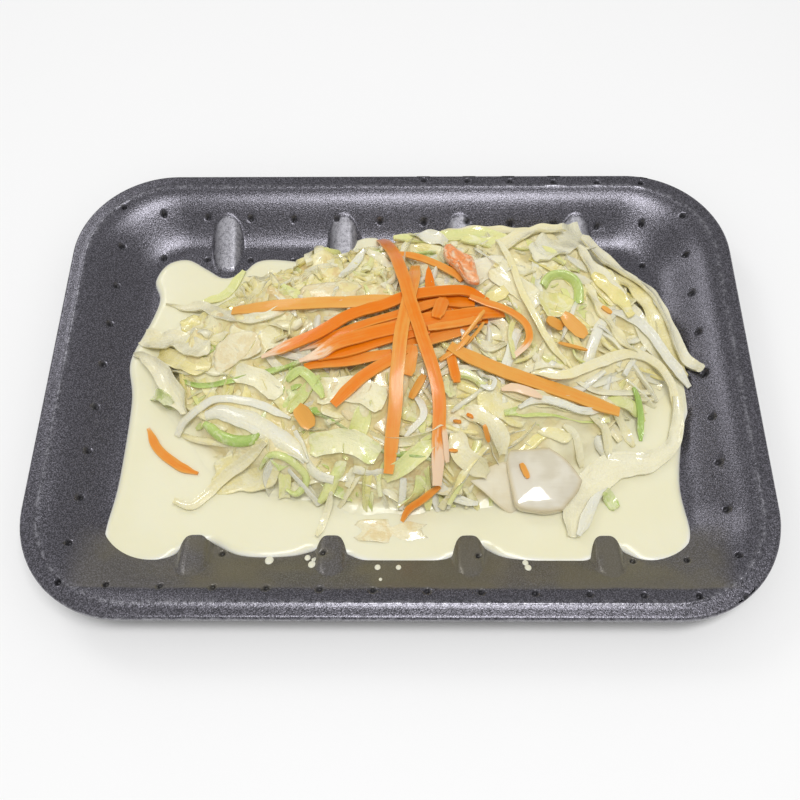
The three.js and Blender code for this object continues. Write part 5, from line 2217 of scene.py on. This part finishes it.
@dataclass(frozen=True)
class Viewpoint:
    """The camera: place in millimetres, turns, and focal length in pixels of an 800 pixel frame."""

    place: tuple[float, float, float] = (3.52, -136.33, 263.14)
    pitch: float = 1.1023
    yaw: float = -0.0262
    roll: float = -0.0233
    focal: float = 917.87
    frame_width: float = 800.0
    sensor: float = 36.0

    def build(self) -> None:
        """Makes the camera and gives it to the scene."""
        ahead = Vector((
            math.sin(self.yaw) * math.cos(self.pitch), math.cos(self.yaw) * math.cos(self.pitch),
            -math.sin(self.pitch)))
        right = Vector((math.cos(self.yaw), -math.sin(self.yaw), 0.0))
        up = right.cross(ahead)
        level = math.cos(self.roll) * right + math.sin(self.roll) * up
        upright = -math.sin(self.roll) * right + math.cos(self.roll) * up
        turn = Matrix((level, upright, -ahead)).transposed().to_4x4()
        lens = bpy.data.cameras.new("camera")
        lens.sensor_width = self.sensor
        lens.lens = self.focal * self.sensor / self.frame_width
        lens.clip_start = 0.01
        camera = bpy.data.objects.new("camera", lens)
        camera.matrix_world = Matrix.Translation(Vector(self.place) * MM) @ turn
        bpy.context.scene.collection.objects.link(camera)
        bpy.context.scene.camera = camera


@dataclass(frozen=True)
class Lamp:
    """A soft rectangular light, aimed at the tray."""

    name: str
    place: tuple[float, float, float]
    size: tuple[float, float]
    power: float
    colour: Colour = (1.0, 1.0, 1.0)

    def build(self) -> None:
        """Makes the light."""
        light = bpy.data.lights.new(self.name, "AREA")
        light.shape = "RECTANGLE"
        light.size, light.size_y = self.size
        light.energy = self.power
        light.color = self.colour
        lamp = bpy.data.objects.new(self.name, light)
        lamp.location = self.place
        lamp.rotation_euler = (-Vector(self.place)).to_track_quat("-Z", "Y").to_euler()
        bpy.context.scene.collection.objects.link(lamp)


@dataclass(frozen=True)
class Studio:
    """White floor, soft lights and an even white surrounding."""

    floor_size: float = 6.0
    ambient: float = 0.52
    lamps: tuple[Lamp, ...] = (
        Lamp("overhead", (0.06, -0.14, 0.9), (0.5, 0.18), 4.2),
        Lamp("window", (-0.6, 0.6, 0.7), (0.3, 0.3), 1.2),
    )

    def build(self, finish: FloorFinish) -> None:
        """Makes floor, lights and surroundings.

        Args:
            finish: The floor's finish.
        """
        bm = bmesh.new()
        bmesh.ops.create_grid(bm, x_segments=4, y_segments=4, size=self.floor_size / 2)
        mesh = mesh_of("floor", bm)
        mesh.materials.append(finish.build())
        floor = bpy.data.objects.new("floor", mesh)
        bpy.context.scene.collection.objects.link(floor)
        for lamp in self.lamps:
            lamp.build()
        world = bpy.data.worlds.new("surroundings")
        world.use_nodes = True
        background = world.node_tree.nodes["Background"]
        background.inputs["Color"].default_value = (1.0, 1.0, 1.0, 1.0)
        background.inputs["Strength"].default_value = self.ambient
        scene = bpy.context.scene
        scene.world = world
        scene.view_settings.view_transform = "Standard"
        scene.view_settings.look = "None"


# ---------------- main


def main() -> None:
    """Builds the camera, the tray, the food and the studio, in that order."""
    logging.basicConfig(level=logging.INFO, format="%(name)s %(message)s")
    Viewpoint().build()
    tray = TrayForm()
    pool = PoolForm(tray)
    heap = HeapForm(tray)
    relief = Relief(tray, pool, heap, hollow=10.0)
    FoamTray(tray, pool, heap).build(FoamFinish())
    dressing = Dressing(pool, heap)
    dressing.build_pool(DressingFinish())
    dressing.build_drops(DressingFinish())
    slaw = Slaw(relief, heap)
    slaw.build(
        CabbageFinish(), CabbageFinish(name="leaf"), SOAKED_LEAF, hero_ribbons(), hero_leaves())
    dressing.build_coat(relief, 0.6, CoatFinish())
    lumps = Lumps(relief)
    lumps.build_core(CoreFinish(), THIN_CORE)
    garnish = Garnish(relief)
    garnish.build(CarrotFinish())
    garnish.build_sliver(CarrotFinish(name="carrot_sliver"))
    lumps.build_chunk(ROUGH_CARROT)
    Studio().build(FloorFinish())


if __name__ == "__main__":
    main()
